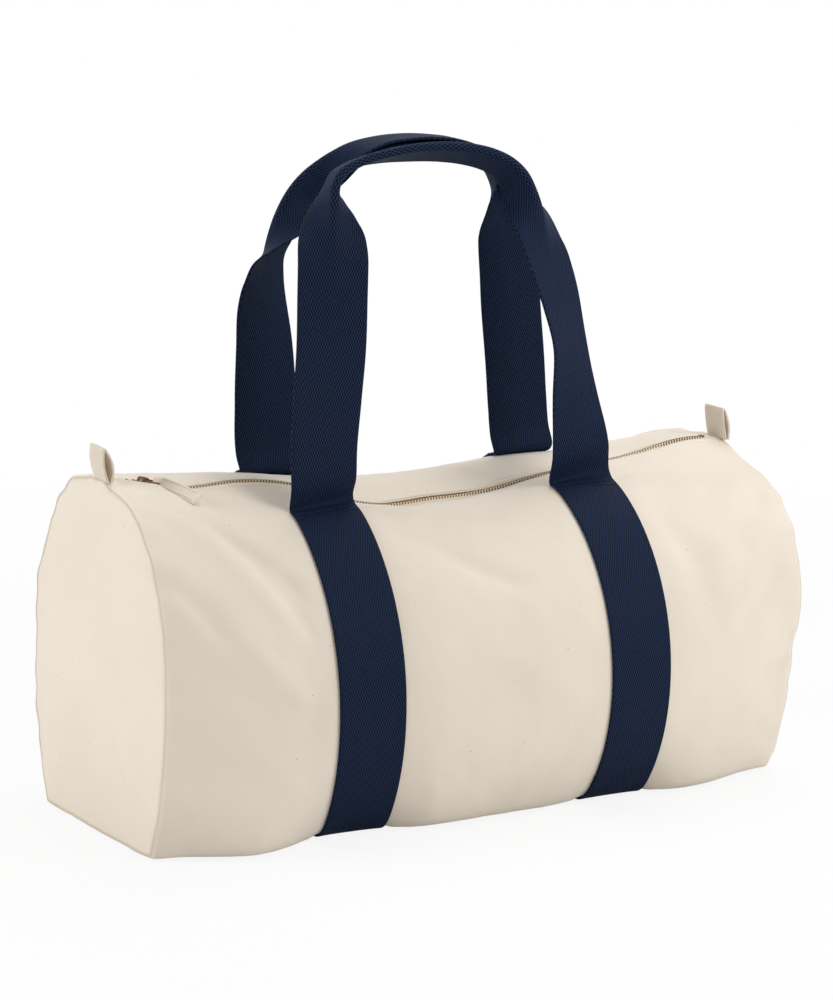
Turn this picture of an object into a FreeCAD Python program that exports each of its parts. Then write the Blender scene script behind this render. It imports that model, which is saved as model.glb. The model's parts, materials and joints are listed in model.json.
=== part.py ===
import FreeCAD, Part
import math
import os
import Sketcher

# Barrel bag, closed and standing on its base.
# X runs along the barrel, -Y is the front, +Z is up; the floor is z = 0 and the origin is under the
# middle of the bag. Lengths are millimetres, angles are degrees.

SIZES = {
    # canvas barrel, measured on the outside of the cloth
    "body_length": 500,
    "canvas_thickness": 1.5,
    "waist_height": 98,
    "end_width": 230,
    "girth_width": 256,
    "belly_width": 258,
    "base_tuck": 38,
    "top_flat": 22,
    "side_upright": 0.7,
    "crown_turn": 45,
    "valley_depth": 12,
    # lean of the ends: how much further out the rear side stands than the front, the base than the top
    "end_swing": 14,
    "end_kick": 9,
    # fixed canvas at both ends of the mouth, and the gaps along which the top panels fold and part
    "collar_width": 14,
    "flex_gap": 0.4,
    "edge_gap": 0.5,
    "mouth_gap": 13.4,
    # clearance between pieces that are sewn onto each other
    "seat_gap": 0.3,
    # bound seam allowance inside each end
    "binding_width": 10,
    "binding_thickness": 1.2,
    # webbing of the straps and the handles
    "webbing_width": 50,
    "webbing_thickness": 2.2,
    "strap_spacing": 208,
    "stitch_spacing": 104,
    # handles: pivot to grip, arch of the grip, folded grip
    "handle_rise": 248,
    "handle_lean": 6,
    "grip_arch": 66,
    "grip_span": 172,
    "grip_bow": 14,
    "grip_turn": 70,
    "grip_thickness": 7,
    "knuckle_diameter": 3,
    "fold_start_share": 0.5,
    # zip: the chain hangs in an arc between the ends of the barrel
    "zip_mid_height": 218,
    "zip_sag": 37,
    "tape_width": 12,
    "tape_thickness": 0.8,
    "tape_gap": 0.5,
    "tape_parting": 2.4,
    "tooth_pitch": 6,
    "tooth_length": 2.6,
    "tooth_reach": 0.9,
    "tooth_root": 3.2,
    "tooth_height": 2.6,
    "tooth_slot_gap": 0.05,
    "chain_margin": 20,
    "top_stop_length": 2,
    "top_stop_margin": 17,
    "bottom_stop_length": 3,
    "bottom_stop_width": 6.4,
    # slider
    "slider_length": 14,
    "slider_width": 10,
    "slider_plate": 1.2,
    "slider_clearance": 0.2,
    "slider_margin": 28,
    "slider_corner": 2,
    "rail_width": 1,
    "rail_length": 8,
    "rail_slot": 1.3,
    "divider_length": 3.6,
    "divider_width": 1.8,
    "bridge_length": 8,
    "bridge_width": 2.6,
    "bridge_wall": 1.1,
    "bridge_hole": 2.2,
    # pull ring and pull tab
    "ring_bar": 1.2,
    "ring_length": 11,
    "ring_inner_width": 9.6,
    "ring_rounding": 0.42,
    "tab_tilt": 5,
    "tab_length": 44,
    "tab_width": 9,
    "tab_thickness": 2.2,
    "tab_eye": 1.95,
    "tab_eye_wall": 1.1,
    # end loops of folded canvas
    "loop_width": 25,
    "loop_height": 20,
    "loop_radius": 5.6,
    "loop_wall": 1.6,
    "loop_foot": 5,
}

doc = FreeCAD.newDocument("barrel_bag")
sheet = doc.addObject("Spreadsheet::Sheet", "Sizes")
for row, (alias, number) in enumerate(SIZES.items(), start=1):
    sheet.set(f"A{row}", alias)
    sheet.set(f"B{row}", str(number))
    sheet.setAlias(f"B{row}", alias)
doc.recompute()

on_x = FreeCAD.Vector(1, 0, 0)
on_y = FreeCAD.Vector(0, 1, 0)
on_z = FreeCAD.Vector(0, 0, 1)
UNSET = 1  # holds a place until the expression for it is set
ALIKE = 1e-6  # radians between directions that count as parallel
ZIP_RADIUS = "(((Sizes.body_length / 2) ^ 2 + Sizes.zip_sag ^ 2) / (2 * Sizes.zip_sag))"
ZIP_CENTRE = f"(Sizes.zip_mid_height + {ZIP_RADIUS})"
MOUTH_END = "(Sizes.body_length / 2 - Sizes.collar_width)"


def size(alias):
    """One named size of the sheet."""
    return float(sheet.get(alias))


def zip_radius():
    """Radius of the arc in which the zip hangs, from the chord between the ends and its sag."""
    sag = size("zip_sag")
    return ((size("body_length") / 2) ** 2 + sag ** 2) / (2 * sag)


def top_height(x):
    """Height of the canvas over the zip at x: it lies over the tape all along the arc."""
    radius = zip_radius()
    rise = size("tape_thickness") / 2 + size("tape_gap") + size("canvas_thickness")
    return size("zip_mid_height") + radius - math.sqrt((radius - rise) ** 2 - x ** 2)


strap_inner = (size("strap_spacing") - size("webbing_width")) / 2
strap_outer = strap_inner + size("webbing_width")


def tangent_arcs(span, rise, turn):
    """Radii of two arcs that meet smoothly. The first starts upright and bends inwards by turn, the
    second bends on until it is level; together they reach span inwards and rise upwards."""
    cosine = math.cos(turn)
    sine = math.sin(turn)
    scale = (1 - cosine) * (1 - sine) - cosine * sine
    first = (span * (1 - sine) - rise * cosine) / scale
    second = (rise * (1 - cosine) - span * sine) / scale
    return first, second


def arc(place, centre, radius, start, end):
    """Circular edge from angle start to angle end; place turns its two coordinates into a point."""
    points = []
    for angle in (start, (start + end) / 2, end):
        points.append(place(centre[0] + radius * math.cos(angle), centre[1] + radius * math.sin(angle)))
    return Part.Arc(*points).toShape()


def crown_span():
    """Reach of the crown arcs, the same all along: the narrowest section keeps its flat top."""
    narrowest = min(size("end_width"), size("girth_width"), size("belly_width"))
    return (narrowest - size("top_flat")) / 2


def crown_rise():
    """Rise of the crown arcs, the same all along: the lowest section keeps an upright stretch of side."""
    lowest = min(top_height(strap_outer), top_height(0) + size("valley_depth"))
    return lowest - size("waist_height") - size("flex_gap") - size("side_upright")


class Station:
    """Cross-section of the barrel at one x. From the middle of the base to the middle of the top each
    half has a level base, a lower arc, an upright side, two crown arcs and a straight top that may dip
    to the edge of the mouth. The arcs are the same at every station; the straight stretches take up
    the changes of width and height. A section leans by a share of the ends' lean."""

    def __init__(self, x, width, top, edge, lean_share=0):
        self.x = x
        self.lean_share = lean_share
        self.width = width
        self.top = top
        self.edge = edge
        half = width / 2
        self.waist = size("waist_height")
        self.base = size("webbing_thickness") + size("seat_gap")
        self.turn = math.radians(size("crown_turn"))
        drop = self.waist - self.base
        self.lower = (size("base_tuck") ** 2 + drop ** 2) / (2 * size("base_tuck"))
        self.side, self.crown = tangent_arcs(crown_span(), crown_rise(), self.turn)
        self.half = half
        self.spring = top - crown_rise()
        self.level = half - crown_span()

    def between(self, other, x):
        """Station at x on the straight run from this one to another."""
        share = (x - self.x) / (other.x - self.x)
        return Station(x, self.width + (other.width - self.width) * share,
                       self.top + (other.top - self.top) * share,
                       self.edge + (other.edge - self.edge) * share,
                       self.lean_share + (other.lean_share - self.lean_share) * share)

    def place(self, y, z):
        swing = size("end_swing") * y / size("end_width")
        kick = size("end_kick") * (1 - z / end_top)
        outwards = math.copysign(self.lean_share, self.x)
        return FreeCAD.Vector(self.x + outwards * (swing + kick), y, z)

    def line(self, side, start, end):
        return Part.makeLine(self.place(side * start[0], start[1]), self.place(side * end[0], end[1]))

    def arc(self, side, centre, radius, start, end):
        return arc(lambda y, z: self.place(side * y, z), centre, radius, start, end)

    def under(self, side, outset):
        """Lower arc from the base to the waist."""
        radius = self.lower + outset
        centre = self.half - self.lower
        corner = math.asin((self.base - outset - self.waist) / radius)
        return self.arc(side, (centre, self.waist), radius, corner, 0)

    def base_line(self, outset):
        radius = self.lower + outset
        low = self.base - outset
        reach = self.half - self.lower + math.sqrt(radius ** 2 - (low - self.waist) ** 2)
        return self.line(1, (-reach, low), (reach, low))

    def over(self, side, outset, start, angle):
        """Upright side from height start, then the crown arcs until they lean by angle."""
        return [
            self.line(side, (self.half + outset, start), (self.half + outset, self.spring)),
            self.arc(side, (self.half - self.side, self.spring), self.side + outset, 0, self.turn),
            self.arc(side, (self.level, self.top - self.crown), self.crown + outset, self.turn, angle),
        ]

    def top_line(self, side, outset, end):
        return self.line(side, (self.level, self.top + outset), (end, self.edge + outset))

    def cap(self, side, height, outer, inner):
        """Cut edge of a sleeve at the given height of its upright side."""
        return self.line(side, (self.half + outer, height), (self.half + inner, height))

    def wire(self, outset):
        """Closed outline, moved outwards by outset."""
        edges = [self.base_line(outset)]
        for side in (-1, 1):
            edges += [self.under(side, outset), *self.over(side, outset, self.waist, math.pi / 2),
                      self.top_line(side, outset, 0)]
        return joined(edges)

    def trough(self, outer, inner):
        """Sleeve from the waist down round the base to the other waist."""
        edges = []
        for outset in (outer, inner):
            edges += [self.base_line(outset), self.under(-1, outset), self.under(1, outset)]
        return joined(edges + [self.cap(side, self.waist, outer, inner) for side in (-1, 1)])

    def top_panel(self, side, outer, inner):
        """Sleeve from just over the waist to the edge of the mouth."""
        start = self.waist + size("flex_gap")
        edge = size("mouth_gap") / 2
        edges = [self.cap(side, start, outer, inner),
                 self.line(side, (edge, self.edge + outer), (edge, self.edge + inner))]
        for outset in (outer, inner):
            edges += [*self.over(side, outset, start, math.pi / 2), self.top_line(side, outset, edge)]
        return joined(edges)

    def strap_top(self, side, outer, inner, angle):
        """Sleeve from just over the waist up to where the crown leans by angle."""
        start = self.waist + size("flex_gap")
        ends = []
        for outset in (outer, inner):
            radius = self.crown + outset
            ends.append((self.level + radius * math.cos(angle),
                         self.top - self.crown + radius * math.sin(angle)))
        edges = [self.cap(side, start, outer, inner), self.line(side, *ends)]
        for outset in (outer, inner):
            edges += self.over(side, outset, start, angle)
        return joined(edges)


def joined(edges):
    return Part.Wire(Part.__sortEdges__(edges))


def feature(name, shape):
    made = doc.addObject("Part::Feature", name)
    made.Shape = shape
    return made


def skin(name, wires):
    """Solid along wires of one pattern: between neighbours, lines span flat faces and arcs ruled ones.
    Two lines that are not parallel span a pair of flat triangles."""
    faces = [Part.Face(wires[0]), Part.Face(wires[-1])]
    for near, far in zip(wires, wires[1:]):
        for first, second in zip(near.Edges, far.Edges):
            if isinstance(first.Curve, Part.Line):
                corners = [vertex.Point for vertex in first.Vertexes + second.Vertexes[::-1]]
                if first.tangentAt(0).isParallel(second.tangentAt(0), ALIKE):
                    outlines = [corners]
                else:
                    outlines = [corners[:3], corners[2:] + corners[:1]]
                faces += [Part.Face(Part.makePolygon(outline + outline[:1])) for outline in outlines]
            else:
                faces.append(Part.makeRuledSurface(first, second))
    sewn = Part.makeCompound(faces)
    sewn.sewShape()
    return feature(name, Part.Solid(sewn.Shells[0]))


def extruded(name, wire, direction, length):
    """Prism on a closed wire; length is an expression of the sheet."""
    made = doc.addObject("Part::Extrusion", name)
    made.Base = feature(f"{name}_outline", wire)
    made.DirMode = "Custom"
    made.Dir = direction
    made.Solid = True
    made.setExpression("LengthFwd", length)
    return made


def ring(name, stations, outer, inner):
    """Closed sleeve along the stations between two outsets of the barrel's outline."""
    made = doc.addObject("Part::Cut", name)
    made.Base = skin(f"{name}_skin", [station.wire(outer) for station in stations])
    made.Tool = skin(f"{name}_core", [station.wire(inner) for station in stations])
    return made


def fused(name, pieces):
    made = doc.addObject("Part::MultiFuse", name)
    made.Shapes = pieces
    return made


def plane(body, role):
    return next(item for item in body.Origin.OriginFeatures if item.Role == role)


def new_body(name):
    return doc.addObject("PartDesign::Body", name)


def new_sketch(body, role, lift="0"):
    """Empty sketch on one of the body's own planes, raised along its normal by lift."""
    made = body.newObject("Sketcher::SketchObject", f"{body.Name}_sketch")
    made.AttachmentSupport = (plane(body, role), [""])
    made.MapMode = "FlatFace"
    made.setExpression("AttachmentOffset.Base.z", lift)
    return made


def bind(sketch, kind, geometry, spot, start, expression):
    index = sketch.addConstraint(Sketcher.Constraint(kind, -1, 1, geometry, spot, start))
    sketch.setExpression(f"Constraints[{index}]", expression)


def polygon(sketch, corners):
    """Closed outline whose corners are pairs of expressions of the sheet."""
    first = sketch.GeometryCount
    count = len(corners)
    turn = 2 * math.pi / count
    ring = [FreeCAD.Vector(math.cos(turn * i), math.sin(turn * i), 0) for i in range(count)]
    for i in range(count):
        sketch.addGeometry(Part.LineSegment(ring[i], ring[(i + 1) % count]))
    for i, (across, up) in enumerate(corners):
        following = first + (i + 1) % count
        sketch.addConstraint(Sketcher.Constraint("Coincident", first + i, 2, following, 1))
        bind(sketch, "DistanceX", first + i, 1, ring[i].x, across)
        bind(sketch, "DistanceY", first + i, 1, ring[i].y, up)


def rectangle(sketch, across, up):
    polygon(sketch, [(across[0], up[0]), (across[1], up[0]), (across[1], up[1]), (across[0], up[1])])


def circle(sketch, radius):
    """Circle about the sketch's origin."""
    centre = FreeCAD.Vector(0, 0, 0)
    made = sketch.addGeometry(Part.Circle(centre, on_z, UNSET))
    sketch.addConstraint(Sketcher.Constraint("Coincident", made, 3, -1, 1))
    index = sketch.addConstraint(Sketcher.Constraint("Radius", made, UNSET))
    sketch.setExpression(f"Constraints[{index}]", radius)


def pad(body, sketch, length, midplane=False):
    made = body.newObject("PartDesign::Pad", f"{body.Name}_pad")
    made.Profile = sketch
    made.Midplane = midplane
    made.setExpression("Length", length)
    return made


def round_edges(body, radius, direction, aside=0):
    """Fillet on the body's straight edges along direction that lie further than aside from y = 0."""
    doc.recompute()
    solid = body.Tip
    names = []
    for number, edge in enumerate(solid.Shape.Edges, start=1):
        along = abs(edge.tangentAt(edge.FirstParameter).dot(direction))
        if math.isclose(along, 1) and abs(edge.CenterOfMass.y) >= aside:
            names.append(f"Edge{number}")
    made = body.newObject("PartDesign::Fillet", f"{body.Name}_fillet")
    made.Base = (solid, names)
    made.setExpression("Radius", radius)


def hang_on_zip(body, turn):
    """Put a body's origin on the zip's arc, turned about the arc's centre."""
    body.Placement.Rotation = FreeCAD.Rotation(on_y, UNSET)
    body.setExpression("Placement.Rotation.Angle", turn)
    body.setExpression("Placement.Base.x", f"-{ZIP_RADIUS} * sin({turn})")
    body.setExpression("Placement.Base.z", f"{ZIP_CENTRE} - {ZIP_RADIUS} * cos({turn})")


# Canvas barrel: one wrap with a collar at each end, two top panels, two end panels, bound seams

wall_end = size("body_length") / 2 - size("canvas_thickness")
mouth_end = size("body_length") / 2 - size("collar_width")
collar_edge = mouth_end + size("edge_gap")
binding_end = wall_end - size("seat_gap")


def girth(x):
    return Station(x, size("girth_width"), top_height(strap_outer), top_height(x))


belly = Station(0, size("belly_width"), top_height(0) + size("valley_depth"), top_height(0))
straps = {"left": [girth(-strap_outer), girth(-strap_inner)],
          "right": [girth(strap_inner), girth(strap_outer)]}
end_top = top_height(wall_end)
ends = {name: Station(side * wall_end, size("end_width"), end_top, end_top, lean_share=1)
        for name, side in (("left", -1), ("right", 1))}
middle = [*straps["left"], belly, *straps["right"]]
wall = -size("canvas_thickness")


def toward_end(name, x):
    """Station at x between the outer edge of a strap and the end on its side."""
    sign = -1 if name == "left" else 1
    return ends[name].between(girth(sign * strap_outer), sign * x)


def whole(x):
    return [toward_end("left", x), *middle, toward_end("right", x)]


wrap = [skin("wrap", [station.trough(0, wall) for station in whole(collar_edge)])]
for name, end in ends.items():
    wrap.append(ring(f"{name}_collar", [end, toward_end(name, collar_edge)], 0, wall))
parts = [fused("body_panel", wrap)]
for name, side in (("front", -1), ("rear", 1)):
    outlines = [station.top_panel(side, 0, wall) for station in whole(mouth_end)]
    parts.append(skin(f"{name}_top_panel", outlines))

binding_outset = wall - size("seat_gap")
for name, end in ends.items():
    outwards = FreeCAD.Vector(math.copysign(1, end.x), 0, 0)
    panel = extruded(f"{name}_end_panel", end.wire(0), outwards, "Sizes.canvas_thickness")
    span = [toward_end(name, binding_end), toward_end(name, binding_end - size("binding_width"))]
    parts += [panel, ring(f"{name}_seam_binding", span, binding_outset,
                          binding_outset - size("binding_thickness"))]

# Body straps, each in a lower part under the base and two parts that ride on the top panels

strap_face = size("seat_gap") + size("webbing_thickness")
strap_crown = belly.crown + strap_face
strap_level = straps["left"][0].level
stitch_angle = math.acos((size("stitch_spacing") / 2 - strap_level) / strap_crown)
for name, (station, _) in straps.items():
    lower = station.trough(strap_face, size("seat_gap"))
    parts.append(extruded(f"{name}_strap", lower, on_x, "Sizes.webbing_width"))
    for face, side in (("front", -1), ("rear", 1)):
        upper = station.strap_top(side, strap_face, size("seat_gap"), stitch_angle)
        parts.append(extruded(f"{face}_{name}_strap_top", upper, on_x, "Sizes.webbing_width"))

# Handles: flat legs that fold lengthwise into a deep narrow grip, hinged on a round stitched foot. The left
# half of the rear grip is turned on its side: it bows out, and its folded flat faces the front.

GRIP_SPRING = "(Sizes.handle_rise - Sizes.grip_arch)"
FOLD_HEIGHT = f"(Sizes.fold_start_share * {GRIP_SPRING})"
LEG_INWARDS = "((Sizes.strap_spacing - Sizes.grip_span) / 2)"
FLAT_HALF = "Sizes.webbing_width / 2"
FACE_HALF = "Sizes.webbing_thickness / 2"
GRIP_HALF = "Sizes.grip_thickness / 2"


def tapered(name, heights, low, high):
    """Block between two level rectangles, each given as its middle and half across, back and front."""
    made = doc.addObject("Part::Wedge", name)
    made.setExpression("Ymin", heights[0])
    made.setExpression("Ymax", heights[1])
    for prefix, (middle_x, half, back, front) in (("", low), ("2", high)):
        made.setExpression(f"X{prefix}min", f"{middle_x} - {half}")
        made.setExpression(f"X{prefix}max", f"{middle_x} + {half}")
        made.setExpression(f"Z{prefix}min", back)
        made.setExpression(f"Z{prefix}max", front)
    made.Placement.Rotation = FreeCAD.Rotation(on_x, 90)
    return made


def leg(name, side, turned):
    """Flat from the foot to the start of the fold, doubled over at the start of the grip."""
    foot = (f"{side} * Sizes.strap_spacing / 2", FLAT_HALF, f"-{FACE_HALF}", FACE_HALF)
    if turned:
        inwards = f"({LEG_INWARDS} - Sizes.grip_bow)"
        section = ("Sizes.webbing_width / 4", f"-{GRIP_HALF}", GRIP_HALF)
    else:
        inwards = LEG_INWARDS
        section = (GRIP_HALF, f"{FACE_HALF} - {FLAT_HALF}", FACE_HALF)
    fold = (f"{side} * (Sizes.strap_spacing / 2 - Sizes.fold_start_share * {inwards})", *foot[1:])
    doubled = (f"{side} * (Sizes.strap_spacing / 2 - {inwards})", *section)
    return [tapered(f"{name}_leg", ("0", FOLD_HEIGHT), foot, fold),
            tapered(f"{name}_fold", (FOLD_HEIGHT, GRIP_SPRING), fold, doubled)]


def grip(name, side, turned):
    """Half of the band over the top: a tight bend at its side and a flatter arch up to the middle."""
    span = size("grip_span") / 2
    rise = size("grip_arch")
    half = size("grip_thickness") / 2
    front = -size("webbing_thickness") / 2
    depth = FLAT_HALF
    if turned:
        span += size("grip_bow")
        rise += half - size("webbing_width") / 4
        front = -half
        half = size("webbing_width") / 4
        depth = "Sizes.grip_thickness"
    spring = size("handle_rise") - size("grip_arch")
    turn = math.radians(size("grip_turn"))
    bend, arch = tangent_arcs(span, rise, turn)

    def upright(across, up):
        return FreeCAD.Vector(side * across, front, up)

    edges = [Part.makeLine(upright(span - half, spring), upright(span + half, spring)),
             Part.makeLine(upright(0, spring + rise - half), upright(0, spring + rise + half))]
    for outset in (half, -half):
        edges += [arc(upright, (span - bend, spring), bend + outset, 0, turn),
                  arc(upright, (0, spring + rise - arch), arch + outset, turn, math.pi / 2)]
    return extruded(f"{name}_grip", joined(edges), on_y, depth)


pivot_reach = strap_crown + size("knuckle_diameter") / 2 + size("seat_gap")
pivot_angle = stitch_angle - size("webbing_thickness") / strap_crown
pivot_y = strap_level + pivot_reach * math.cos(pivot_angle)
pivot_z = straps["left"][0].top - belly.crown + pivot_reach * math.sin(pivot_angle)

for name, side in (("front_handle", -1), ("rear_handle", 1)):
    pieces = []
    for foot in (-1, 1):
        turned = side > 0 and foot > 0
        knuckle = doc.addObject("Part::Cylinder", f"{name}_knuckle")
        knuckle.setExpression("Radius", "Sizes.knuckle_diameter / 2")
        knuckle.setExpression("Height", "Sizes.webbing_width")
        knuckle.Placement.Rotation = FreeCAD.Rotation(on_y, 90)
        knuckle.setExpression("Placement.Base.x", f"{foot} * Sizes.strap_spacing / 2 - {FLAT_HALF}")
        pieces += [*leg(name, foot, turned), grip(name, foot, turned), knuckle]
    handle = fused(name, pieces)
    lean = FreeCAD.Rotation(on_x, side * size("handle_lean"))
    facing = FreeCAD.Rotation(on_z, 0 if side < 0 else 180)
    handle.Placement = FreeCAD.Placement(FreeCAD.Vector(0, side * pivot_y, pivot_z), lean * facing)
    parts.append(handle)

# Zip: two tapes, two rows of teeth, top stops on the tapes and a bottom stop on the right collar

tape_half = "Sizes.tape_thickness / 2"
tooth_half = "Sizes.tooth_height / 2"
slot_half = f"({tape_half} + Sizes.tooth_slot_gap)"
tape_edge = "Sizes.tape_parting / 2"
chain_start = -size("body_length") / 2 + size("chain_margin") + size("slider_length") / 2
chain_end = size("body_length") / 2 - size("chain_margin")
pitch_angle = size("tooth_pitch") / zip_radius()
start_angle = math.asin(chain_start / zip_radius())
tooth_count = int((math.asin(chain_end / zip_radius()) - start_angle) / pitch_angle)
stop_turn = f"asin((Sizes.body_length / 2 - Sizes.top_stop_margin) / {ZIP_RADIUS})"

for name, side, pitch_share in (("front", -1, 0), ("rear", 1, 0.5)):
    tape = new_body(f"{name}_zip_tape")
    tape.setExpression("Placement.Base.z", ZIP_CENTRE)
    strip = new_sketch(tape, "YZ_Plane")
    rectangle(strip, (f"{side} * Sizes.tape_width", f"{side} * {tape_edge}"),
              (f"-{ZIP_RADIUS} - {tape_half}", f"-{ZIP_RADIUS} + {tape_half}"))
    sweep = tape.newObject("PartDesign::Revolution", f"{name}_zip_sweep")
    sweep.Profile = strip
    sweep.ReferenceAxis = (plane(tape, "Y_Axis"), [""])
    sweep.Midplane = True
    sweep.setExpression("Angle", f"2 * asin({MOUTH_END} / {ZIP_RADIUS})")

    tooth = new_body(f"{name}_tooth")
    jaws = new_sketch(tooth, "YZ_Plane")
    root = f"{side} * Sizes.tooth_root"
    tip = f"{-side} * Sizes.tooth_reach"
    slot_end = f"{side} * ({tape_edge} - Sizes.tooth_slot_gap)"
    polygon(jaws, [(root, slot_half), (root, tooth_half), (tip, tooth_half), (tip, f"-{tooth_half}"),
                   (root, f"-{tooth_half}"), (root, f"-{slot_half}"), (slot_end, f"-{slot_half}"),
                   (slot_end, slot_half)])
    pad(tooth, jaws, "Sizes.tooth_length", midplane=True)
    doc.recompute()
    centre = FreeCAD.Vector(0, 0, zip_radius())
    row = []
    for number in range(tooth_count):
        angle = start_angle + (number + pitch_share) * pitch_angle
        turned = tooth.Shape.copy()
        turned.rotate(centre, on_y, -math.degrees(angle))
        row.append(turned)
    teeth = feature(f"{name}_zip_teeth", Part.makeCompound(row))
    teeth.setExpression("Placement.Base.z", "Sizes.zip_mid_height")

    stop = new_body(f"{name}_top_stop")
    crimp = new_sketch(stop, "YZ_Plane")
    rectangle(crimp, (root, f"{side} * {tape_edge}"), (tape_half, tooth_half))
    pad(stop, crimp, "Sizes.top_stop_length", midplane=True)
    hang_on_zip(stop, stop_turn)
    parts += [tape, teeth, stop]

bottom_stop = doc.addObject("Part::Box", "zip_bottom_stop")
bottom_stop.setExpression("Length", "Sizes.bottom_stop_length")
bottom_stop.setExpression("Width", "Sizes.bottom_stop_width")
bottom_stop.setExpression("Height", "Sizes.canvas_thickness")
bottom_stop.Placement.Base.z = toward_end("right", collar_edge).top + wall
stop_end = f"({MOUTH_END} + Sizes.edge_gap - Sizes.seat_gap)"
bottom_stop.setExpression("Placement.Base.x", f"{stop_end} - Sizes.bottom_stop_length")
bottom_stop.setExpression("Placement.Base.y", "-Sizes.bottom_stop_width / 2")
parts.append(bottom_stop)

# Slider: two plates joined by a divider, rails that keep the teeth in, a bridge on top

slider_turn = f"asin((Sizes.body_length / 2 - Sizes.slider_margin) / {ZIP_RADIUS})"
inside_half = f"({tooth_half} + Sizes.slider_clearance)"
slider_half = "Sizes.slider_width / 2"
slider_end = "Sizes.slider_length / 2"
slider_top = f"({inside_half} + Sizes.slider_plate)"

slider = new_body("zip_slider")
lower_plate = new_sketch(slider, "XY_Plane", f"-{slider_top}")
rectangle(lower_plate, (f"-{slider_end}", slider_end), (f"-{slider_half}", slider_half))
pad(slider, lower_plate, "Sizes.slider_plate")
divider = new_sketch(slider, "XY_Plane", f"-{inside_half}")
rectangle(divider, (f"-{slider_end}", f"-{slider_end} + Sizes.divider_length"),
          ("-Sizes.divider_width / 2", "Sizes.divider_width / 2"))
pad(slider, divider, f"2 * {inside_half}")
upper_plate = new_sketch(slider, "XY_Plane", inside_half)
rectangle(upper_plate, (f"-{slider_end}", slider_end), (f"-{slider_half}", slider_half))
pad(slider, upper_plate, "Sizes.slider_plate")
round_edges(slider, "Sizes.slider_corner", on_z, size("divider_width"))
rail_height = f"{inside_half} - Sizes.rail_slot / 2"
for lift in ("Sizes.rail_slot / 2", f"-{inside_half}"):
    for side in (-1, 1):
        rail = new_sketch(slider, "XY_Plane", lift)
        rectangle(rail, ("-Sizes.rail_length / 2", "Sizes.rail_length / 2"),
                  (f"{side} * ({slider_half} - Sizes.rail_width)", f"{side} * {slider_half}"))
        pad(slider, rail, rail_height)
bridge = new_sketch(slider, "XZ_Plane")
bridge_end = "Sizes.bridge_length / 2"
hole_end = f"({bridge_end} - Sizes.bridge_wall)"
hole_top = f"({slider_top} + Sizes.bridge_hole)"
bridge_top = f"({hole_top} + Sizes.bridge_wall)"
polygon(bridge, [(f"-{bridge_end}", slider_top), (f"-{bridge_end}", hole_top), (f"-{hole_end}", bridge_top),
                 (hole_end, bridge_top), (bridge_end, hole_top), (bridge_end, slider_top),
                 (hole_end, slider_top), (hole_end, hole_top), (f"-{hole_end}", hole_top),
                 (f"-{hole_end}", slider_top)])
pad(slider, bridge, "Sizes.bridge_width", midplane=True)
hang_on_zip(slider, slider_turn)
parts.append(slider)

# Pull ring through the bridge, and the folded canvas tab round the ring's outer bar

ring_drop = f"{ZIP_RADIUS} - {slider_top} - Sizes.bridge_hole / 2"
tab_turn = f"({slider_turn} - Sizes.tab_tilt * 1 deg)"
ring_x = f"-({ring_drop}) * sin({slider_turn})"
ring_z = f"{ZIP_CENTRE} - ({ring_drop}) * cos({slider_turn})"
bar_half = "Sizes.ring_bar / 2"
bar_spacing = "(Sizes.ring_length - Sizes.ring_bar)"
ring_side = "(Sizes.ring_inner_width / 2 + Sizes.ring_bar)"

pull_ring = new_body("pull_ring")
frame = new_sketch(pull_ring, "XY_Plane")
rectangle(frame, (f"-{bar_half}", f"{bar_spacing} + {bar_half}"), (f"-{ring_side}", ring_side))
rectangle(frame, (bar_half, f"{bar_spacing} - {bar_half}"),
          ("-Sizes.ring_inner_width / 2", "Sizes.ring_inner_width / 2"))
pad(pull_ring, frame, "Sizes.ring_bar", midplane=True)
round_edges(pull_ring, "Sizes.ring_rounding", on_y)

tab = new_body("pull_tab")
tail = new_sketch(tab, "XZ_Plane")
rectangle(tail, ("0", "Sizes.tab_length"), ("-Sizes.tab_thickness / 2", "Sizes.tab_thickness / 2"))
pad(tab, tail, "Sizes.tab_width", midplane=True)
eye = new_sketch(tab, "XZ_Plane")
circle(eye, "Sizes.tab_eye")
pad(tab, eye, "Sizes.tab_width", midplane=True)
bore = new_sketch(tab, "XZ_Plane")
circle(bore, "Sizes.tab_eye - Sizes.tab_eye_wall")
hollow = tab.newObject("PartDesign::Pocket", "pull_tab_bore")
hollow.Profile = bore
hollow.Midplane = True
hollow.setExpression("Length", "2 * Sizes.tab_width")

for piece, along, turn in ((pull_ring, "0", slider_turn), (tab, bar_spacing, tab_turn)):
    piece.Placement.Rotation = FreeCAD.Rotation(on_y, UNSET)
    piece.setExpression("Placement.Rotation.Angle", turn)
    piece.setExpression("Placement.Base.x", f"{ring_x} + {along} * cos({slider_turn})")
    piece.setExpression("Placement.Base.z", f"{ring_z} - {along} * sin({slider_turn})")
    parts.append(piece)

# End loops: folded canvas strips standing in the end seams

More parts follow.
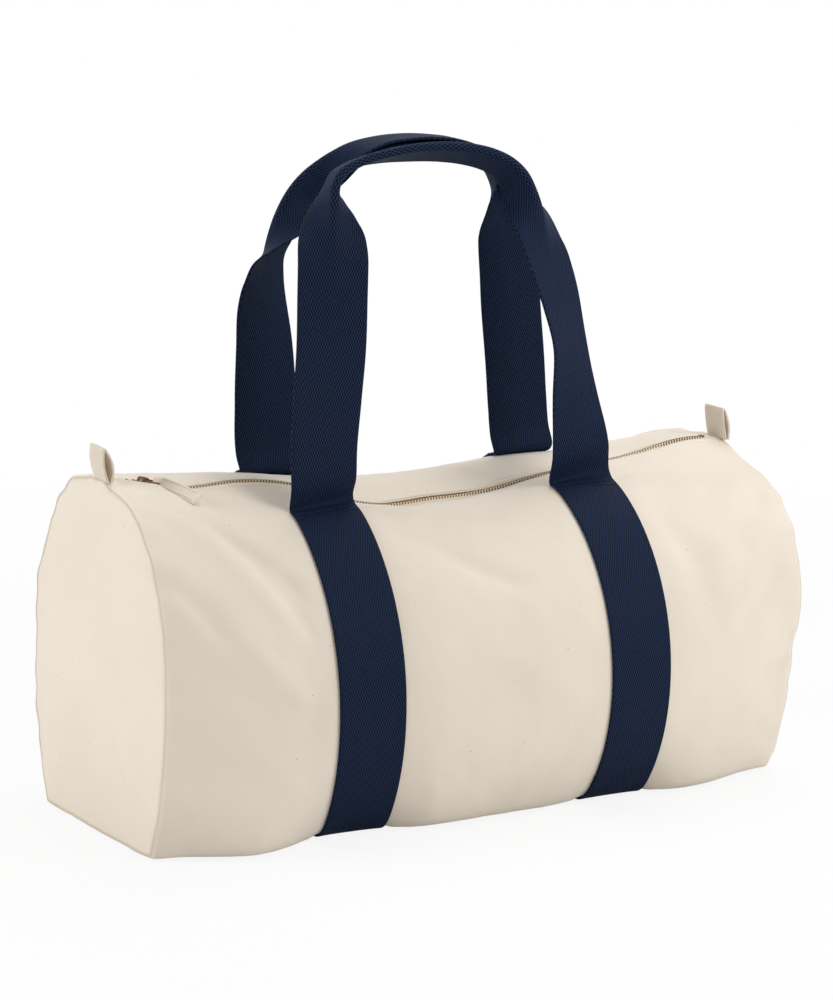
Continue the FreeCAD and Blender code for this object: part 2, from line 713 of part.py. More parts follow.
loop_foot = "Sizes.loop_foot / 2"
for name, side in (("left_end_loop", -1), ("right_end_loop", 1)):
    loop = new_body(name)
    strip = new_sketch(loop, "XZ_Plane")
    polygon(strip, [(f"-{loop_foot}", "0"), (loop_foot, "0"),
                    ("Sizes.loop_radius", "Sizes.loop_height"), ("-Sizes.loop_radius", "Sizes.loop_height")])
    pad(loop, strip, "Sizes.loop_width", midplane=True)
    head = new_sketch(loop, "XZ_Plane")
    head.setExpression("AttachmentOffset.Base.y", "Sizes.loop_height")
    circle(head, "Sizes.loop_radius")
    pad(loop, head, "Sizes.loop_width", midplane=True)
    for outline in ("eye", "throat"):
        gap = new_sketch(loop, "XZ_Plane")
        if outline == "eye":
            gap.setExpression("AttachmentOffset.Base.y", "Sizes.loop_height")
            circle(gap, "Sizes.loop_radius - Sizes.loop_wall")
        else:
            polygon(gap, [("0", "Sizes.loop_wall"),
                          ("Sizes.loop_radius - Sizes.loop_wall", "Sizes.loop_height"),
                          ("Sizes.loop_wall - Sizes.loop_radius", "Sizes.loop_height")])
        cut = loop.newObject("PartDesign::Pocket", f"{name}_{outline}")
        cut.Profile = gap
        cut.Midplane = True
        cut.setExpression("Length", "2 * Sizes.loop_width")
    loop.setExpression("Placement.Base.x", f"{side} * (Sizes.body_length / 2 - {loop_foot})")
    loop.Placement.Base.z = end_top + size("seat_gap")
    parts.append(loop)

doc.recompute()

for item in doc.Objects:
    if "Invalid" in item.State or "Error" in item.State:
        raise RuntimeError(f"{item.Name} did not build")
os.makedirs("parts", exist_ok=True)
for part in parts:
    if part.Shape.isNull() or not part.Shape.isValid():
        raise RuntimeError(f"{part.Label} has no valid shape")
    part.Shape.exportStep(f"parts/{part.Label}.step")
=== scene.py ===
import json

import bpy
import numpy as np
from mathutils import Matrix


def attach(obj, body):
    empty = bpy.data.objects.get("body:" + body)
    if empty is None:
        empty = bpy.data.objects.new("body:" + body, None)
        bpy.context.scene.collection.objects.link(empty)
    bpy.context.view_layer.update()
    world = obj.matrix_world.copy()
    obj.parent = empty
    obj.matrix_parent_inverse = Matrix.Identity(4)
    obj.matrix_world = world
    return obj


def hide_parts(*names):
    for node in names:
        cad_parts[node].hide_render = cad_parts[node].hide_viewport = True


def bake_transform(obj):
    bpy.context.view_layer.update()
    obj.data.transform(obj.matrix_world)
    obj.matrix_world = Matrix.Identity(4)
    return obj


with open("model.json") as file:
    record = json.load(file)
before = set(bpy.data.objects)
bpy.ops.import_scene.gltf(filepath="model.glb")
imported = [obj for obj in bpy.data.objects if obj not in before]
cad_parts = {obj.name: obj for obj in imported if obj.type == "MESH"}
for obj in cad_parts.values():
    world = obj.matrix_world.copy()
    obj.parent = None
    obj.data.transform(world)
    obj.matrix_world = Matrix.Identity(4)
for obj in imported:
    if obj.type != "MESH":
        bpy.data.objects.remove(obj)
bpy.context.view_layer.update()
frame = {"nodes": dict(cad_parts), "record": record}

# Sizes are millimetres in the part's frame: +X along the barrel, -Y the front, +Z up, floor at zero.
MM = 0.001
FRONT, REAR = -1, 1
WORDS = {FRONT: "front", REAR: "rear"}
HANDLES = {FRONT: "front_handle", REAR: "rear_handle"}
# The two ends of the barrel: a word, the index of its rim and its direction along x
ENDS = (("left", 0, -1), ("right", 1, 1))
HALF_LENGTH = 250.0
CANVAS_THICKNESS = 1.3
TAPE_THICKNESS = 0.6
WEBBING_WIDTH = 50.0
WEBBING_THICKNESS = 2.2
STRAP_PLACES = {"left": -104.0, "right": 104.0}
# Girth from the zip at which the legs of a handle are sewn to the straps
STITCH_GIRTH = {FRONT: 47.0, REAR: 46.0}


# Small mathematics


def ease(share):
    """Smooth step: 3t^2 - 2t^3 of a share held between zero and one."""
    share = np.clip(share, 0, 1)
    return share * share * (3 - 2 * share)


def flow(x, stations, values):
    """Smooth line through given values: cubic Hermite spans whose slopes are finite differences."""
    stations, values = np.asarray(stations, float), np.asarray(values, float)
    slopes = np.gradient(values, stations)
    low = np.clip(np.searchsorted(stations, x) - 1, 0, len(stations) - 2)
    span = stations[low + 1] - stations[low]
    t = np.clip((x - stations[low]) / span, 0, 1)
    return ((1 + 2 * t) * (1 - t) ** 2 * values[low] + t * (1 - t) ** 2 * span * slopes[low]
            + t ** 2 * (3 - 2 * t) * values[low + 1] + t ** 2 * (t - 1) * span * slopes[low + 1])


def smooth_path(along, stations, knots):
    """Smooth line in space through knots: flow for each of their x, y and z."""
    return np.stack([flow(along, stations, knots[:, k]) for k in range(3)], axis=-1)


def run_along(points):
    """Length along a line from its first point: the running sum of the distances between its points."""
    return np.concatenate([[0], np.cumsum(np.linalg.norm(np.diff(points, axis=0), axis=1))])


def unit(vectors):
    """Vectors divided by their lengths."""
    return vectors / np.linalg.norm(vectors, axis=-1, keepdims=True)


def ripples(a, b, lengths, seed):
    """Uneven waviness between about -1 and 1: sines in seeded directions, one for each wave length."""
    random = np.random.default_rng(seed)
    total = 0
    for length in lengths:
        turn, phase = random.uniform(0, 2 * np.pi, 2)
        total = total + np.sin(2 * np.pi * (a * np.cos(turn) + b * np.sin(turn)) / length + phase)
    return total / len(lengths)


# A crease runs on past its two ends by a share of its length, and fades over another share
CREASE_OVERRUN, CREASE_FADE = 0.15, 0.4


def crease(a, b, start, end, width, height):
    """One soft fold: a Gaussian ridge of that height on the line from start to end, which fades at both."""
    start, line = np.array(start), np.subtract(end, start)
    length = np.hypot(*line)
    along = ((a - start[0]) * line[0] + (b - start[1]) * line[1]) / length ** 2
    off = ((a - start[0]) * line[1] - (b - start[1]) * line[0]) / length
    fade = ease((along + CREASE_OVERRUN) / CREASE_FADE) * ease((1 + CREASE_OVERRUN - along) / CREASE_FADE)
    return height * fade * np.exp(-(off / width) ** 2)


# Canvas barrel: its sections, the zip line they hang from, and the folds in the cloth

# Half sections along the barrel: half widths of base, waist and top slope, and the slope's lower height
STATIONS = (-250, -236, -210, -185, -160, -129, -104, -79, -55, 0, 42, 79, 104, 129, 150, 180, 215, 250)
SECTIONS = {
    FRONT: {
        "foot": (78, 86, 101, 110, 103, 88, 87, 90, 99, 101, 100, 93, 92, 94, 102, 103, 92, 78),
        "waist": (109, 113, 119, 122.5, 124, 124, 124, 125, 129, 132, 134.5, 136, 134.5, 132.5, 131.5,
                  129, 124.5, 119.5),
        "shoulder": (58, 57, 55, 53, 52, 51, 50, 48, 46, 46, 46, 46, 46, 47, 48, 51, 55, 58),
        "crest": (245, 242.5, 238, 233, 228.5, 224.5, 226, 228, 226, 222, 223.5, 228, 229.5, 229, 229.5, 231,
                  229, 224),
    },
    REAR: {
        "foot": (80, 86, 94, 100, 98, 90, 89, 90, 96, 98, 97, 91, 90, 91, 97, 99, 91, 79),
        "waist": (116, 118, 121, 123.5, 125, 125.5, 126, 126.5, 128, 129, 129, 128.5, 128, 127, 126.5, 125,
                  121, 117),
        "shoulder": (58, 57, 55, 52, 50, 49, 48, 48, 48, 48, 48, 48, 48, 48, 49, 51, 55, 58),
        "crest": (248, 248.5, 247, 245.5, 243.5, 241, 238, 235.5, 233, 231.5, 234, 237, 237, 236.5, 236.5,
                  238.5, 242.5, 240),
    },
}
TOP_ROWS, SIDE_ROWS, LOWER_ROWS, BASE_ROWS = 20, 62, 48, 38
# The waist is higher at the ends, and the base is lifted a little more under a strap
WAIST_LEVEL, END_WAIST_RISE = 104.0, 42.0
SOLE_LIFT, STRAP_ROOM, STRAP_MARGIN = 0.9, 1.9, 9.0
# What belongs to the ends sets in here and is complete at the end seam
END_START, END_RUN = 130.0, 120.0
# Lean of an end seam: a constant, and a slope by y that starts at the axis and dies out at the top
LEAN, LEAN_SLOPE, LEAN_AXIS, LEAN_TOP = 1.5, 0.11, -83.0, 260.0
# The sections are rounded along the girth, but not at the zip and the base, and less at the ends
ROUNDING, ROUNDING_RUN = 9.0, 20.0
END_FIRMNESS, FIRM_START, FIRM_RUN = 0.7, 215.0, 35.0
LOWEST = 0.5

# The zip line, and the slit between the canvas edges beside it
ZIP_PLACES = (-250, -235, -222, -205, -188, -175, -155, -132, -111, -85, -60, -38, -20, 0,
              24, 44, 61, 78, 110, 152, 168, 178, 185, 192, 208, 220, 234, 250)
ZIP_HEIGHTS = (252.5, 249.4, 246.4, 243.2, 240.4, 240.8, 242, 240.4, 236.5, 228, 219, 214.6, 214.8, 216.1,
               216.5, 217.2, 219.3, 222.4, 227, 231, 232.9, 234.8, 236.3, 237.85, 241, 242.2, 242.2, 241.8)
LIP_PLACES = (-250, -240, -231, -213, -204, -150, -90, -40, -20, 24,
              44, 78, 140, 168, 177, 193, 201, 238, 244, 250)
LIP_WIDTHS = (0.5, 1.5, 6.3, 6.3, 3.8, 3.4, 3.4, 3.8, 5.6, 5.6,
              4.2, 3.4, 3.2, 3.4, 5.9, 5.9, 3.9, 3.2, 0.8, 0.5)
LIP_RISES = {
    FRONT: (2.2, 2.4, 4.2, 4.0, 2.2, 1.5, 1.5, 0.8, -0.8, -0.8,
            0.8, 1.4, 2.6, 2.9, 2.9, 1.6, 1.3, 1.5, 2.2, 2.2),
    REAR: (2.2, 2.3, 2.6, 2.6, 2.6, 2.6, 2.6, 2.8, 3.2, 3.2,
           2.8, 2.6, 2.6, 2.6, 2.6, 2.6, 2.6, 2.5, 2.2, 2.2),
}
STEEPEST_RISE = 0.05
CHAIN_RISE = 1.9
# In the middle, where the canvas sags, the front half of the zip rolls over by so many degrees
ROLL_TURN, ROLL_MIDDLE, ROLL_REACH, ROLL_FADE = 24.0, 2.0, 52.0, 30.0

# Soft waves all over the cloth: height, share of the girth that counts, wave lengths and seed
WAVES = (
    (1.5, 1.0, (150, 120, 95, 80), 3),
    (0.7, 0.6, (52, 44, 37, 31), 11),
    (0.22, 0.8, (26, 21, 17, 14), 23),
)
# Gathers beside an end seam
GATHER_HEIGHT, GATHER_FADE, GATHER_STRETCH = 1.9, 20.0, 0.3
GATHER_LENGTHS, GATHER_SEED = (46, 33, 24, 19), 17
# Creases: start and end, each as x and girth from the zip, then width and height; a furrow is below zero
CREASES = {
    FRONT: (
        ((-214, 34), (-138, 128), 9, -4.2), ((-226, 52), (-158, 138), 11, 3.4),
        ((-247, 158), (-176, 205), 12, -2.4), ((-247, 236), (-172, 262), 14, -2.0),
        ((-40, 52), (44, 86), 9, 3.4), ((-62, 70), (10, 118), 11, -2.5),
        ((236, 84), (196, 134), 9, -2.8), ((222, 70), (176, 128), 10, 2.7),
        ((250, 222), (204, 236), 8, -2.6), ((66, 96), (14, 150), 14, 1.4),
        ((-196, 62), (-142, 150), 7, -3.0), ((-236, 118), (-186, 176), 8, -2.5),
        ((-205, 150), (-150, 196), 9, 2.4), ((-36, 92), (30, 128), 8, -2.4),
        ((-10, 170), (58, 214), 12, 1.6), ((150, 86), (176, 190), 9, -1.5),
        ((232, 150), (190, 186), 8, -2.6), ((246, 262), (176, 282), 9, 1.6),
        ((252, 188), (226, 250), 24, -4.2),
    ),
    REAR: (
        ((212, 40), (140, 120), 11, -2.8), ((52, 60), (-46, 112), 13, 2.2),
        ((-236, 96), (-170, 150), 11, -2.4), ((240, 190), (168, 226), 14, -1.8),
    ),
}
# The folds leave the cloth flat under the straps and in the hem at the zip, and nearly so on the base
FOLD_MARGIN, HEM, HEM_FADE = 22.0, 3.0, 20.0
BASE_FLATNESS, BASE_GIRTH, BASE_FADE = 0.8, 296.0, 24.0
GROOVE_DEPTH, GROOVE_WIDTH = 1.1, 1.5


def zip_height(x):
    """Height of the middle of the teeth."""
    return flow(x, ZIP_PLACES, ZIP_HEIGHTS)


def lip(x):
    """Half the visible slit between the two folded canvas edges."""
    return np.interp(x, LIP_PLACES, LIP_WIDTHS)


def lip_rise(x, side):
    """Height of a folded canvas edge over the middle of the teeth."""
    return np.interp(x, LIP_PLACES, LIP_RISES[side])


def roll_out(x, side):
    """Angle that the front half of the zip turns to the front where the canvas sags, in the middle."""
    return np.radians(ROLL_TURN) * ease((ROLL_REACH - np.abs(x - ROLL_MIDDLE)) / ROLL_FADE) * (side == FRONT)


def section_lines(x, side, *names):
    """Smooth lines through the named measures of the sections."""
    return [flow(x, STATIONS, SECTIONS[side][name]) for name in names]


def top_slope(x, side):
    """Rise of the top panel for each millimetre away from the zip; it falls, so it is negative."""
    crest, shoulder = section_lines(x, side, "crest", "shoulder")
    return np.minimum((crest - zip_height(x) - lip_rise(x, side)) / (shoulder - lip(x)), STEEPEST_RISE)


def near_strap(x, margin):
    """One under a body strap, falling to zero over the margin beside it."""
    gap = np.min([np.abs(x - place) for place in STRAP_PLACES.values()], axis=0) - WEBBING_WIDTH / 2
    return 1 - ease(gap / margin)


def toward_end(x):
    """Zero between the straps, rising smoothly to one at both ends."""
    return ease((np.abs(x) - END_START) / END_RUN)


def arc(dy, dz, shares):
    """Arc that starts upright and moves by dy inwards and dz along: its radius is (dy^2 + dz^2) / 2 dy. Each
    share of its turn gives a way inwards and a way along."""
    radius = (dy ** 2 + dz ** 2) / (2 * dy)
    turn = np.arcsin(dz / radius) * shares[:, None]
    return radius * (1 - np.cos(turn)), radius * np.sin(turn)


def half_section(x, side):
    """Half a cross section at each x, from the zip lip to the middle of the base: a straight top slope, an
    arc that ends upright at the waist, an arc that tucks in to the foot and a straight base."""
    foot, waist, shoulder, crest = section_lines(x, side, "foot", "waist", "shoulder", "crest")
    level = WAIST_LEVEL + END_WAIST_RISE * toward_end(x)
    sole = SOLE_LIFT + STRAP_ROOM * near_strap(x, STRAP_MARGIN)
    edge_y, edge_z = lip(x), zip_height(x) + lip_rise(x, side)
    t = np.linspace(0, 1, TOP_ROWS, endpoint=False)[:, None]
    top = edge_y + (shoulder - edge_y) * t, edge_z + (crest - edge_z) * t
    inward, rise = arc(waist - shoulder, crest - level, np.linspace(1, 0, SIDE_ROWS, endpoint=False))
    side_arc = waist - inward, level + rise
    inward, drop = arc(waist - foot, level - sole, np.linspace(0, 1, LOWER_ROWS, endpoint=False))
    lower_arc = waist - inward, level - drop
    t = np.linspace(0, 1, BASE_ROWS)[:, None]
    base = foot * (1 - t), sole + 0 * t
    runs = (top, side_arc, lower_arc, base)
    return np.concatenate([run[0] for run in runs]), np.concatenate([run[1] for run in runs])


def girth(y, z):
    """Length along each section from the zip lip."""
    steps = np.hypot(np.diff(y, axis=0), np.diff(z, axis=0))
    return np.concatenate([np.zeros_like(y[:1]), np.cumsum(steps, axis=0)])


def folds(x, s, side):
    """Height of the cloth's folds: soft waves, gathers beside the end seams, the creases that the straps and
    the weight of the cloth pull into it, and the groove of the end seam, a Gaussian of the way to it."""
    from_end = HALF_LENGTH - np.abs(x)
    height = 0
    for rise, share, lengths, seed in WAVES:
        height = height + rise * ripples(x, share * s, lengths, seed + side)
    gathers = ripples(GATHER_STRETCH * x, s, GATHER_LENGTHS, GATHER_SEED + side)
    height = height + GATHER_HEIGHT * np.exp(-from_end / GATHER_FADE) * gathers
    for start, end, width, rise in CREASES[side]:
        height = height + crease(x, s, start, end, width, rise)
    free = (1 - near_strap(x, FOLD_MARGIN)) * ease((s - HEM) / HEM_FADE)
    free = free * (1 - BASE_FLATNESS * ease((s - BASE_GIRTH) / BASE_FADE))
    groove = GROOVE_DEPTH * np.exp(-(from_end / GROOVE_WIDTH) ** 2)
    return height * free - groove


def end_lean(points):
    """Both ends lean out towards their lower back corners; the lean dies out at the straps."""
    x, y, z = np.moveaxis(points, -1, 0)
    lean = LEAN + LEAN_SLOPE * (y - LEAN_AXIS) * (1 - z / LEAN_TOP)
    moved = points.copy()
    moved[..., 0] = x + np.sign(x) * lean * toward_end(x)
    return moved


def canvas(x, side):
    """Outer face of one half of the barrel at each x: its sections smoothed along the girth by a Gaussian,
    moved along their normals by the folds and leaned at the ends. Also the normals and the girth."""
    y, z = half_section(x, side)
    s = girth(y, z)
    mean = s.mean(axis=1)
    spread = np.exp(-((mean[:, None] - mean) / ROUNDING) ** 2 / 2)
    spread /= spread.sum(axis=1, keepdims=True)
    softness = ease(mean / ROUNDING_RUN) * ease((mean[-1] - mean) / ROUNDING_RUN)
    softness = softness[:, None] * (1 - END_FIRMNESS * ease((np.abs(x) - FIRM_START) / FIRM_RUN))
    y = y + softness * (spread @ y - y)
    z = z + softness * (spread @ z - z)
    points = np.stack([np.broadcast_to(x, y.shape), side * y, z], axis=-1)
    normals = side * unit(np.cross(np.gradient(points, axis=1), np.gradient(points, axis=0)))
    points = points + normals * folds(points[..., 0], s, side)[..., None]
    points[..., 2] = np.maximum(points[..., 2], LOWEST)
    return end_lean(points), normals, s


# Meshes


def mesh_object(name, points, faces, uv=None):
    """A smooth shaded mesh at the origin, in metres, with an optional UV map, one entry a corner."""
    mesh = bpy.data.meshes.new(name)
    mesh.from_pydata((points.reshape(-1, 3) * MM).tolist(), [], faces)
    if uv is not None:
        layer = mesh.uv_layers.new(name="UVMap")
        layer.data.foreach_set("uv", (uv.reshape(-1) * MM).astype(np.float32))
    mesh.shade_smooth()
    mesh.validate()
    made = bpy.data.objects.new(name, mesh)
    bpy.context.scene.collection.objects.link(made)
    return made


def chart(across, along):
    """UV grid of a strip: the way across it for each column and the way along it for each row."""
    return np.stack(np.broadcast_arrays(across, along[:, None]), axis=-1)


def grid_object(name, points, uv, wrap=False, flip=False, caps=()):
    """A grid of points (rows, columns, 3) as quads. A wrapped grid closes across its columns, and its UV
    grid has one column more; caps are the rows, 0 the first and -1 the last, that a face closes."""
    rows, columns = points.shape[:2]
    index = np.arange(rows * columns).reshape(rows, columns)
    here = np.arange(columns if wrap else columns - 1)
    beside = (here + 1) % columns
    quads = np.stack([index[:-1][:, here], index[:-1][:, beside],
                      index[1:][:, beside], index[1:][:, here]], axis=-1).reshape(-1, 4)
    corners = np.stack([uv[:-1][:, here], uv[:-1][:, here + 1],
                        uv[1:][:, here + 1], uv[1:][:, here]], axis=-2).reshape(-1, 4, 2)
    if flip:
        quads, corners = quads[:, ::-1], corners[:, ::-1]
    faces, corners = quads.tolist(), corners.reshape(-1, 2)
    for row in caps:
        order = (-1 if row == 0 else 1) * (-1 if flip else 1)
        faces.append(index[row][::order].tolist())
        corners = np.concatenate([corners, uv[row, :columns][::order]])
    return mesh_object(name, points, faces, corners)


def scatter_object(name, template, faces, places, frames, sizes):
    """One small shape set at many places: place + the shape's own x, y and z times three frame vectors."""
    local = np.asarray(template, float) * sizes
    points = places[:, None] + np.einsum("vk,nkc->nvc", local, frames)
    shift = np.arange(len(places)) * len(template)
    all_faces = [[corner + start for corner in face] for start in shift.tolist() for face in faces]
    return mesh_object(name, points, all_faces)


def thicken(made, thickness, offset=-1, even=True):
    """Adds the cloth's thickness, inwards at an offset of -1 and to both sides at 0."""
    wall = made.modifiers.new("cloth", "SOLIDIFY")
    wall.thickness = thickness * MM
    wall.offset = offset
    wall.use_even_offset = even


def bends_open(made):
    """Bakes the piece's transform into its mesh and reads its points into an array that nothing uses."""
    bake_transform(made)
    flat = np.empty(3 * len(made.data.vertices), np.float32)
    made.data.vertices.foreach_get("co", flat)


# Materials


def linear(code):
    """sRGB hex code to linear red, green, blue and an alpha of one."""
    channel = np.array([int(code[i:i + 2], 16) for i in (0, 2, 4)]) / 255
    channel = np.where(channel <= 0.04045, channel / 12.92, ((channel + 0.055) / 1.055) ** 2.4)
    return (*channel.tolist(), 1.0)


def add(tree, kind, values=None, links=None, **settings):
    """Adds a shader node with its settings, its socket values and what feeds its sockets: outputs, or nodes,
    which stand for their first output."""
    made = tree.nodes.new("ShaderNode" + kind)
    for name, value in settings.items():
        setattr(made, name, value)
    for socket, value in (values or {}).items():
        made.inputs[socket].default_value = value
    for socket, source in (links or {}).items():
        output = source.outputs[0] if isinstance(source, bpy.types.Node) else source
        tree.links.new(output, made.inputs[socket])
    return made


def new_material(name):
    """A material with an empty node tree, and the UV and object coordinates of its piece."""
    made = bpy.data.materials.new(name)
    made.use_nodes = True
    tree = made.node_tree
    tree.nodes.clear()
    place = add(tree, "TexCoord").outputs
    return made, tree, place["UV"], place["Object"]


def band_scale(pitch):
    """Scale of a wave texture whose bands are that many millimetres apart; it turns 20 radians a unit."""
    return 2 * np.pi / (20 * pitch * MM)


def weave_of(tree, coordinates, across, along):
    """Over and under of crossed threads: the product of two centred sine bands, brought to 0 to 1."""
    bands = []
    for pitch, direction in ((across, "X"), (along, "Y")):
        band = add(tree, "TexWave", {"Scale": band_scale(pitch)}, {"Vector": coordinates},
                   bands_direction=direction)
        bands.append(add(tree, "Math", {1: 0.5}, {0: band.outputs["Fac"]}, operation="SUBTRACT"))
    product = add(tree, "Math", None, {0: bands[0], 1: bands[1]}, operation="MULTIPLY")
    return add(tree, "Math", {1: 2.0, 2: 0.5}, {0: product}, operation="MULTIPLY_ADD")


def cotton_canvas(name, through):
    """Undyed cotton canvas, plain weave: warm cream, dull, with a fine grain, faint slubs, soft rumples, a
    few dark specks of seed husk and a darker line of painted shade in the fold of an end seam. The threads,
    0.6 mm apart, are drawn at 1.1 mm so that they show; through is the share of the light that a single
    layer lets pass."""
    made, tree, uv, solid = new_material(name)
    threads = weave_of(tree, uv, 1.1, 1.1)
    drawn_out = add(tree, "Mapping", {"Scale": (1.0, 0.12, 1.0)}, {"Vector": uv})
    slub = add(tree, "TexNoise", {"Scale": 1 / (6 * MM), "Detail": 3.0, "Roughness": 0.6},
               {"Vector": drawn_out})
    cloud = add(tree, "TexNoise", {"Scale": 1 / (70 * MM), "Detail": 2.0}, {"Vector": solid})
    tone = add(tree, "Mix", {6: linear("EFE6D8"), 7: linear("E8DDCD")}, {0: cloud}, data_type="RGBA")
    grain = add(tree, "Math", {1: 0.5}, {0: threads}, operation="SUBTRACT")
    grain = add(tree, "Math", {1: 0.05, 2: 0.985}, {0: grain}, operation="MULTIPLY_ADD")
    woven = add(tree, "Mix", {0: 1.0}, {6: tone.outputs[2], 7: grain}, data_type="RGBA",
                blend_type="MULTIPLY")
    husk = add(tree, "TexVoronoi", {"Scale": 1 / (16 * MM), "Randomness": 1.0}, {"Vector": solid})
    speck = add(tree, "MapRange",
                {"From Min": 0.018, "From Max": 0.034, "To Min": 0.75, "To Max": 0.0},
                {"Value": husk.outputs["Distance"]})
    specked = add(tree, "Mix", {7: linear("8C7757")}, {0: speck, 6: woven.outputs[2]},
                  data_type="RGBA")
    # Painted shade: within 1.2 mm of an end seam the cloth is mixed towards a darker colour, for the shade
    # in the seam's fold.
    split = add(tree, "SeparateXYZ", None, {0: uv})
    from_middle = add(tree, "Math", None, {0: split.outputs["X"]}, operation="ABSOLUTE")
    seam = add(tree, "MapRange",
               {"From Min": (HALF_LENGTH - 1.2) * MM, "From Max": HALF_LENGTH * MM, "To Max": 0.42},
               {"Value": from_middle})
    coloured = add(tree, "Mix", {7: linear("AE9E82")}, {0: seam, 6: specked.outputs[2]},
                   data_type="RGBA")
    height = add(tree, "Math", {1: 0.6}, {0: slub, 2: threads}, operation="MULTIPLY_ADD")
    rumple = add(tree, "TexNoise", {"Scale": 1 / (22 * MM), "Detail": 2.0, "Roughness": 0.55},
                 {"Vector": solid})
    soft = add(tree, "Bump", {"Strength": 0.35, "Distance": 2.2 * MM}, {"Height": rumple})
    bump = add(tree, "Bump", {"Strength": 0.28, "Distance": 0.25 * MM},
               {"Height": height, "Normal": soft})
    cloth = add(tree, "BsdfPrincipled",
                {"Roughness": 0.9, "Sheen Weight": 0.25, "Sheen Roughness": 0.5, "Specular IOR Level": 0.2},
                {"Base Color": coloured.outputs[2], "Normal": bump})
    glow = add(tree, "BsdfTranslucent", None, {"Color": coloured.outputs[2], "Normal": bump})
    lit = add(tree, "MixShader", {0: through}, {1: cloth, 2: glow})
    add(tree, "OutputMaterial", None, {"Surface": lit})
    return made


def navy_webbing():
    """Heavy navy webbing in a basket weave: rows of small raised beads with pits between them, the crowns
    painted lighter as a painted highlight and the pits painted near black as painted shade. Rows are 2.3 mm
    apart, each set half a bead over; the beads, 1.5 mm apart, are drawn at 1.9 mm so that they show."""
    made, tree, uv, solid = new_material("navy polypropylene webbing")
    beads = weave_of(tree, uv, 1.9, 4.6)
    fuzz = add(tree, "TexNoise", {"Scale": 1 / (2.5 * MM), "Detail": 3.0}, {"Vector": solid})
    # Painted highlight and shade: the colour runs by bead height from near black in the pits to a lighter
    # navy on the crowns.
    ramp = add(tree, "ValToRGB", None, {0: beads})
    pit_painted_shade, crown_painted_highlight = ramp.color_ramp.elements
    pit_painted_shade.position, pit_painted_shade.color = 0.3, linear("02040A")
    crown_painted_highlight.position, crown_painted_highlight.color = 0.75, linear("233352")
    faded = add(tree, "MapRange", {"To Min": 0.85, "To Max": 1.12}, {"Value": fuzz})
    coloured = add(tree, "Mix", {0: 1.0}, {6: ramp, 7: faded}, data_type="RGBA",
                   blend_type="MULTIPLY")
    bump = add(tree, "Bump", {"Strength": 0.6, "Distance": 0.4 * MM}, {"Height": beads})
    cloth = add(tree, "BsdfPrincipled", {"Roughness": 0.6, "Specular IOR Level": 0.06},
                {"Base Color": coloured.outputs[2], "Normal": bump})
    add(tree, "OutputMaterial", None, {"Surface": cloth})
    return made


def cotton_tape():
    """Cream cotton tape in a twill weave: fine slanting ribs 0.9 mm apart, a little yellower than canvas."""
    made, tree, _, solid = new_material("cotton twill tape")
    slant = add(tree, "Mapping", {"Rotation": (0.6, 0.5, 0.8)}, {"Vector": solid})
    ribs = add(tree, "TexWave", {"Scale": band_scale(0.9)}, {"Vector": slant}).outputs["Fac"]
    tone = add(tree, "Mix", {6: linear("E2D8C2"), 7: linear("F1E9D9")}, {0: ribs}, data_type="RGBA")
    bump = add(tree, "Bump", {"Strength": 0.4, "Distance": 0.2 * MM}, {"Height": ribs})
    cloth = add(tree, "BsdfPrincipled",
                {"Roughness": 0.88, "Sheen Weight": 0.2, "Specular IOR Level": 0.2},
                {"Base Color": tone.outputs[2], "Normal": bump})
    add(tree, "OutputMaterial", None, {"Surface": cloth})
    return made


def sewing_thread(name, light, dark, roughness):
    """Twisted thread: slanting plies 0.35 mm apart, drawn at 0.5 mm so that they show."""
    made, tree, _, solid = new_material(name)
    slant = add(tree, "Mapping", {"Rotation": (0.3, 0.9, 0.7)}, {"Vector": solid})
    plies = add(tree, "TexWave", {"Scale": band_scale(0.5)}, {"Vector": slant}).outputs["Fac"]
    tone = add(tree, "Mix", {6: linear(dark), 7: linear(light)}, {0: plies}, data_type="RGBA")
    cloth = add(tree, "BsdfPrincipled", {"Roughness": roughness, "Specular IOR Level": 0.1},
                {"Base Color": tone.outputs[2]})
    add(tree, "OutputMaterial", None, {"Surface": cloth})
    return made


def brass(name, light, dark, low, high):
    """Brass with a brown patina: satin, darker and duller in cloudy patches about 3 mm across, finely
    scuffed. The roughness goes from low to high with the patina."""
    made, tree, _, solid = new_material(name)
    patina = add(tree, "TexNoise", {"Scale": 1 / (3 * MM), "Detail": 4.0, "Roughness": 0.65},
                 {"Vector": solid})
    tone = add(tree, "Mix", {6: linear(light), 7: linear(dark)}, {0: patina}, data_type="RGBA")
    dull = add(tree, "MapRange", {"To Min": low, "To Max": high}, {"Value": patina})
    scuff = add(tree, "TexNoise", {"Scale": 1 / (0.5 * MM), "Detail": 2.0}, {"Vector": solid})
    bump = add(tree, "Bump", {"Strength": 0.12, "Distance": 0.1 * MM}, {"Height": scuff})
    metal = add(tree, "BsdfPrincipled", {"Metallic": 1.0},
                {"Base Color": tone.outputs[2], "Roughness": dull, "Normal": bump})
    add(tree, "OutputMaterial", None, {"Surface": metal})
    return made


CANVAS = cotton_canvas("undyed cotton canvas", 0.0)
THIN_CANVAS = cotton_canvas("undyed cotton canvas, single layer", 0.22)
WEBBING = navy_webbing()
TAPE = cotton_tape()
CREAM_THREAD = sewing_thread("cream cotton thread", "DCCFB8", "B9A88C", 0.8)
PALE_THREAD = sewing_thread("undyed cotton thread", "EFE8D9", "E2D8C5", 0.9)
NAVY_THREAD = sewing_thread("navy polyester thread", "1B2437", "0B1018", 0.6)
OLD_BRASS = brass("darkened brass casting", "94784F", "523E2A", 0.24, 0.42)
TOOTH_BRASS = brass("stamped brass teeth", "9A7648", "5C4328", 0.28, 0.45)


def finish_piece(made, material, nodes=()):
    """Gives the piece its material and slot, and hides the solids that it stands for."""
    made.data.materials.append(material)
    if nodes:
        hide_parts(*nodes)
    return made


# Canvas barrel and its two ends

